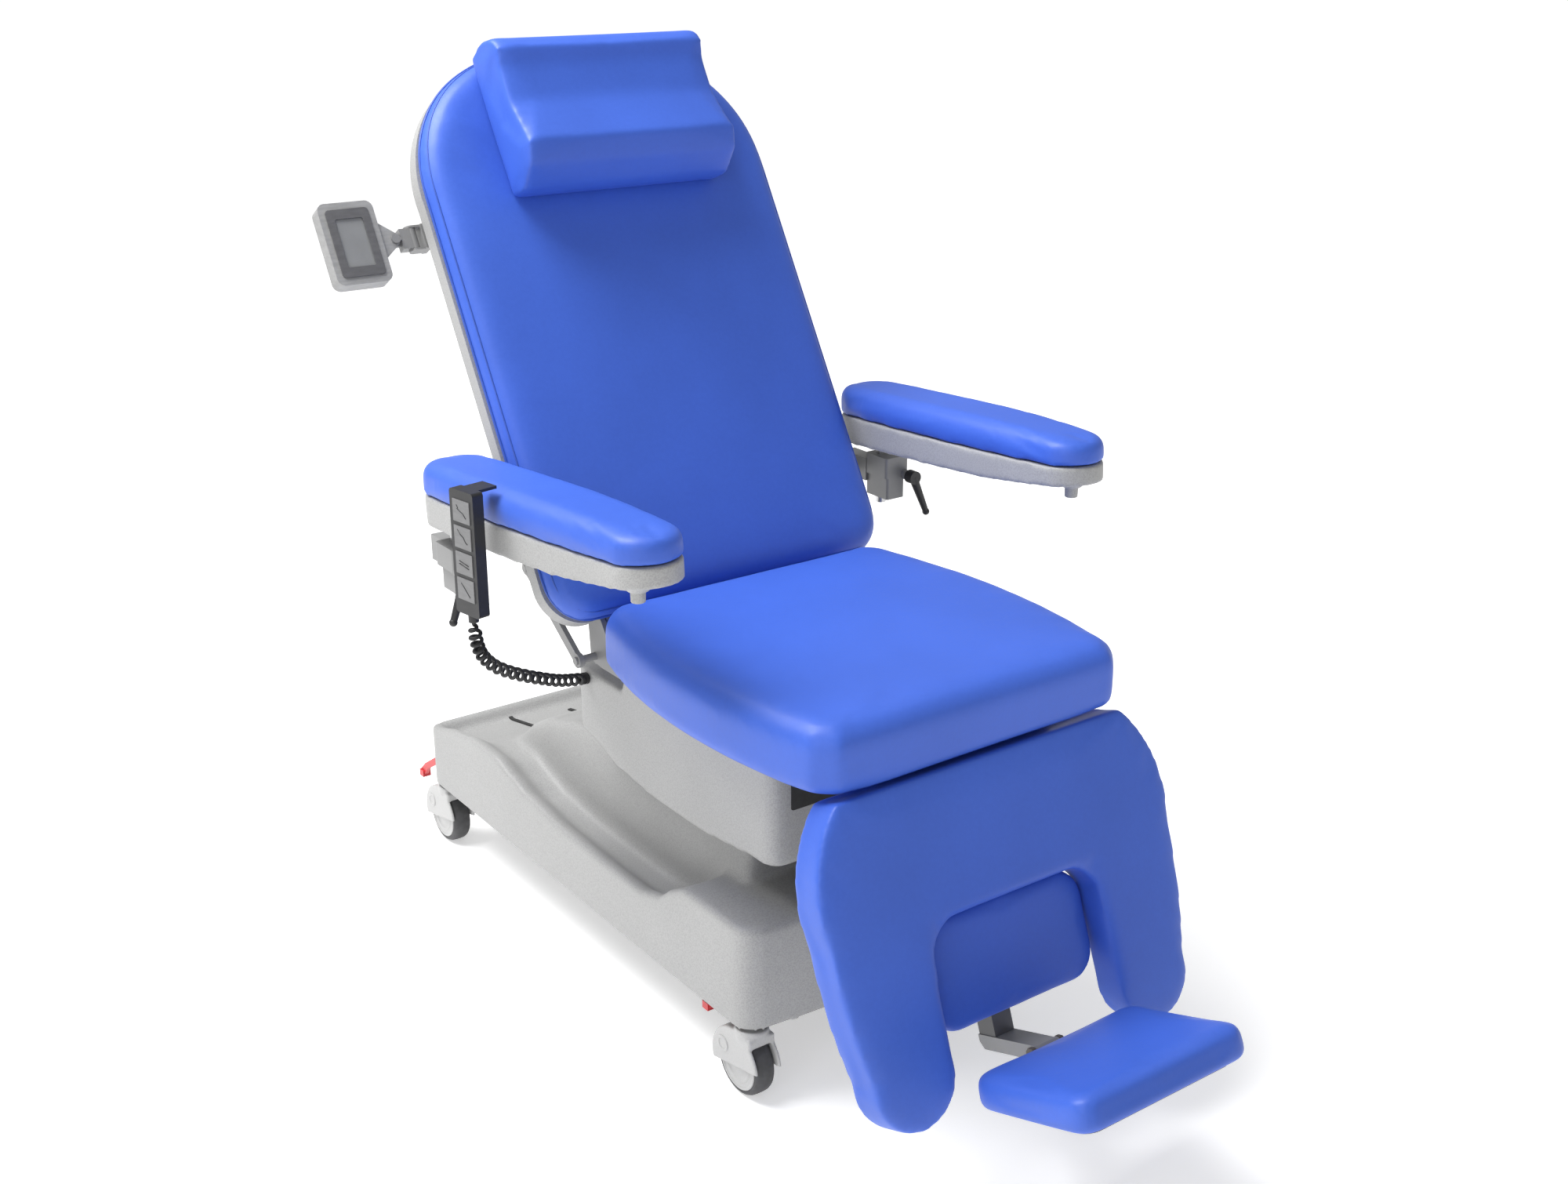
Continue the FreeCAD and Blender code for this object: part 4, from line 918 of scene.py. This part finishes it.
def make_caster(end, hand):
    """Fork cover and caps on the housing's body; tyre and ringed discs on the wheel's."""
    corner = end + "_" + hand
    housing = "caster_housing_" + corner
    soft_edged("caster_fork_" + corner, housing, "caster_" + corner, 0.0022, 3, CASTER_GREY)
    centre = centre_of("caster_wheel_" + corner)
    far_side = [(TYRE_HALF_WIDTH + x, radius) for x, radius in TYRE_SHOULDER]
    tread = [(-0.004, 0.05), (0.004, 0.05)]
    profile = [(-x, radius) for x, radius in far_side] + tread + far_side[::-1]
    tyre = turned("tyre_" + corner, profile, centre, 96)
    edge_softened(tyre, 0.0006, 2, 30)
    finished(applied(tyre), "wheel_" + corner, MATERIALS["caster_wheel"],
             ["caster_wheel_" + corner])
    for side, face in ((-1, "inner"), (1, "outer")):
        disc = turned("wheel_disc_%s_%s" % (corner, face),
                      [(side * x, radius) for x, radius in DISC_PROFILE], centre, 72)
        edge_softened(disc, 0.0004, 2, 30)
        finished(applied(disc), "wheel_" + corner, CASTER_GREY)
        cap = turned("caster_cap_%s_%s" % (corner, face),
                     [(side * x, radius) for x, radius in CAP_PROFILE],
                     centre + Vector((side * 0.0205, 0.026, 0.020)), 40)
        edge_softened(cap, 0.0004, 2, 30)
        finished(applied(cap), "caster_" + corner, CASTER_GREY)


# ---------------------------------------------------------------- armrest bosses

# The boss under an armrest: its middle on the left, and its profile as (height, radius)
BOSS_PLACE = (0.3664, -0.4546, 0.7676)
BOSS_SIDES = 32
BOSS_PROFILE = [(0.034, 0.030), (0.022, 0.022), (0.0135, 0.0135), (0.0125, 0.0098), (-0.001, 0.0094),
                (-0.002, 0.0084)]


def make_arm_boss(hand):
    """Round boss and pin under the front of an armrest, over the softened shell."""
    bm = bmesh.new()
    centre = Vector((SIDES[hand] * BOSS_PLACE[0], BOSS_PLACE[1], BOSS_PLACE[2]))
    rings = []
    for z, radius in BOSS_PROFILE:
        ring = []
        for k in range(BOSS_SIDES):
            turn = math.pi * k / (BOSS_SIDES // 2)
            ring.append(bm.verts.new(centre + Vector((radius * math.cos(turn), radius * math.sin(turn), z))))
        rings.append(ring)
    for one, two in zip(rings, rings[1:]):
        for k in range(BOSS_SIDES):
            bm.faces.new((one[k], one[(k + 1) % BOSS_SIDES], two[(k + 1) % BOSS_SIDES], two[k]))
    bm.faces.new(rings[0])
    bm.faces.new(rings[-1])
    obj = edge_softened(from_bmesh("arm_boss_" + hand, bm), 0.0008, 2, 25)
    finished(applied(obj), "armrest_" + hand, MATERIALS["cover_plastic"])


# ---------------------------------------------------------------- handset and display

# Plain strokes on each key, (across, up) from its middle
ICONS = {
    "key_back": [[(-0.009, 0.008), (-0.006, 0.004)],
                 [(-0.008, 0.003), (-0.002, 0.000), (0.004, -0.002), (0.010, -0.008)]],
    "key_leg": [[(-0.010, 0.010), (-0.004, 0.004), (0.002, 0.001), (0.006, -0.005), (0.010, -0.007)]],
    "key_height": [[(-0.010, 0.003), (0.010, -0.001)], [(-0.010, -0.001), (0.010, -0.005)]],
    "key_tilt": [[(-0.009, 0.008), (-0.005, 0.005), (0.009, -0.009)]],
}


def make_key_icons():
    turn = Matrix.Rotation(HANDSET_TURN, 4, "Z")
    outward = turn @ Vector((0, -1, 0))
    for key, strokes in ICONS.items():
        low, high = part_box(key)
        centre = (low + high) / 2
        reach = max((turn.inverted() @ (Vector(v.co) - centre)).y * -1 for v in nodes[key].data.vertices)
        face = centre + outward * reach
        for index, stroke in enumerate(strokes):
            line = [face + turn @ Vector((x, 0, z)) for x, z in stroke]
            obj = sweep("%s_icon_%d" % (key, index + 1), line, 0.0007, sides=8)
            finished(obj, key, MATERIALS["handset_black"])


def make_display_frame():
    """Dark surround of the screen, on the front of the case."""
    local = [BACK.inverted() @ Vector(v.co) for v in nodes["display_screen"].data.vertices]
    x0, x1 = min(p.x for p in local), max(p.x for p in local)
    z0, z1 = min(p.z for p in local), max(p.z for p in local)
    y = min((BACK.inverted() @ Vector(v.co)).y for v in nodes["display_housing"].data.vertices)
    bm = bmesh.new()

    def outline(across, up, corner):
        """Points of a rectangle larger than the screen by across and up."""
        return [bm.verts.new((x, y - 0.0012, z)) for x, z in
                rounded_rectangle(x0 - across, x1 + across, z0 - up, z1 + up, corner)]

    outer = outline(0.004, 0.005, corner=0.006)
    inner = outline(-0.008, -0.010, corner=0.003)
    count = len(outer)
    for i in range(count):
        bm.faces.new((outer[i], outer[(i + 1) % count], inner[(i + 1) % count], inner[i]))
    bmesh.ops.transform(bm, matrix=BACK, verts=bm.verts)
    obj = from_bmesh("display_frame", bm)
    applied(modified(obj, "SOLIDIFY", thickness=0.0016, offset=0.0))
    edge_softened(obj, 0.0004, 2)
    finished(applied(obj), "display", DARK_FRAME)


# ---------------------------------------------------------------- everything

BEVELLED = ["display_housing", "display_link", "display_bracket", "handset_body", "key_back", "key_leg",
            "key_height", "key_tilt", "brake_pedals_front", "brake_pedals_rear", "footrest_bar",
            "footrest_tube", "arm_carrier_left", "arm_carrier_right", "clamp_lever_left",
            "clamp_lever_right", "lift_shroud"]


def dress_cad_nodes():
    slots = {row["node"]: row["material_slot"] for row in frame["record"]["subparts"]}
    for name, node in nodes.items():
        node.data.materials.clear()
        node.data.materials.append(MATERIALS[slots[name]])
    for name in BEVELLED:
        edge_softened(nodes[name], 0.0007 if "key" not in name else 0.0012, 2)


make_camera()
make_studio()
dress_cad_nodes()
make_cord()
make_cushions()
make_deck_slots(make_base_cover())
make_seat_housing()
for hand in SIDES:
    soft_edged("arm_shell_cover_" + hand, "arm_shell_" + hand, "armrest_" + hand, 0.0035, 4,
               MATERIALS["cover_plastic"])
for end, hand in CORNERS:
    make_caster(end, hand)
for hand in SIDES:
    make_arm_boss(hand)
make_key_icons()
make_display_frame()
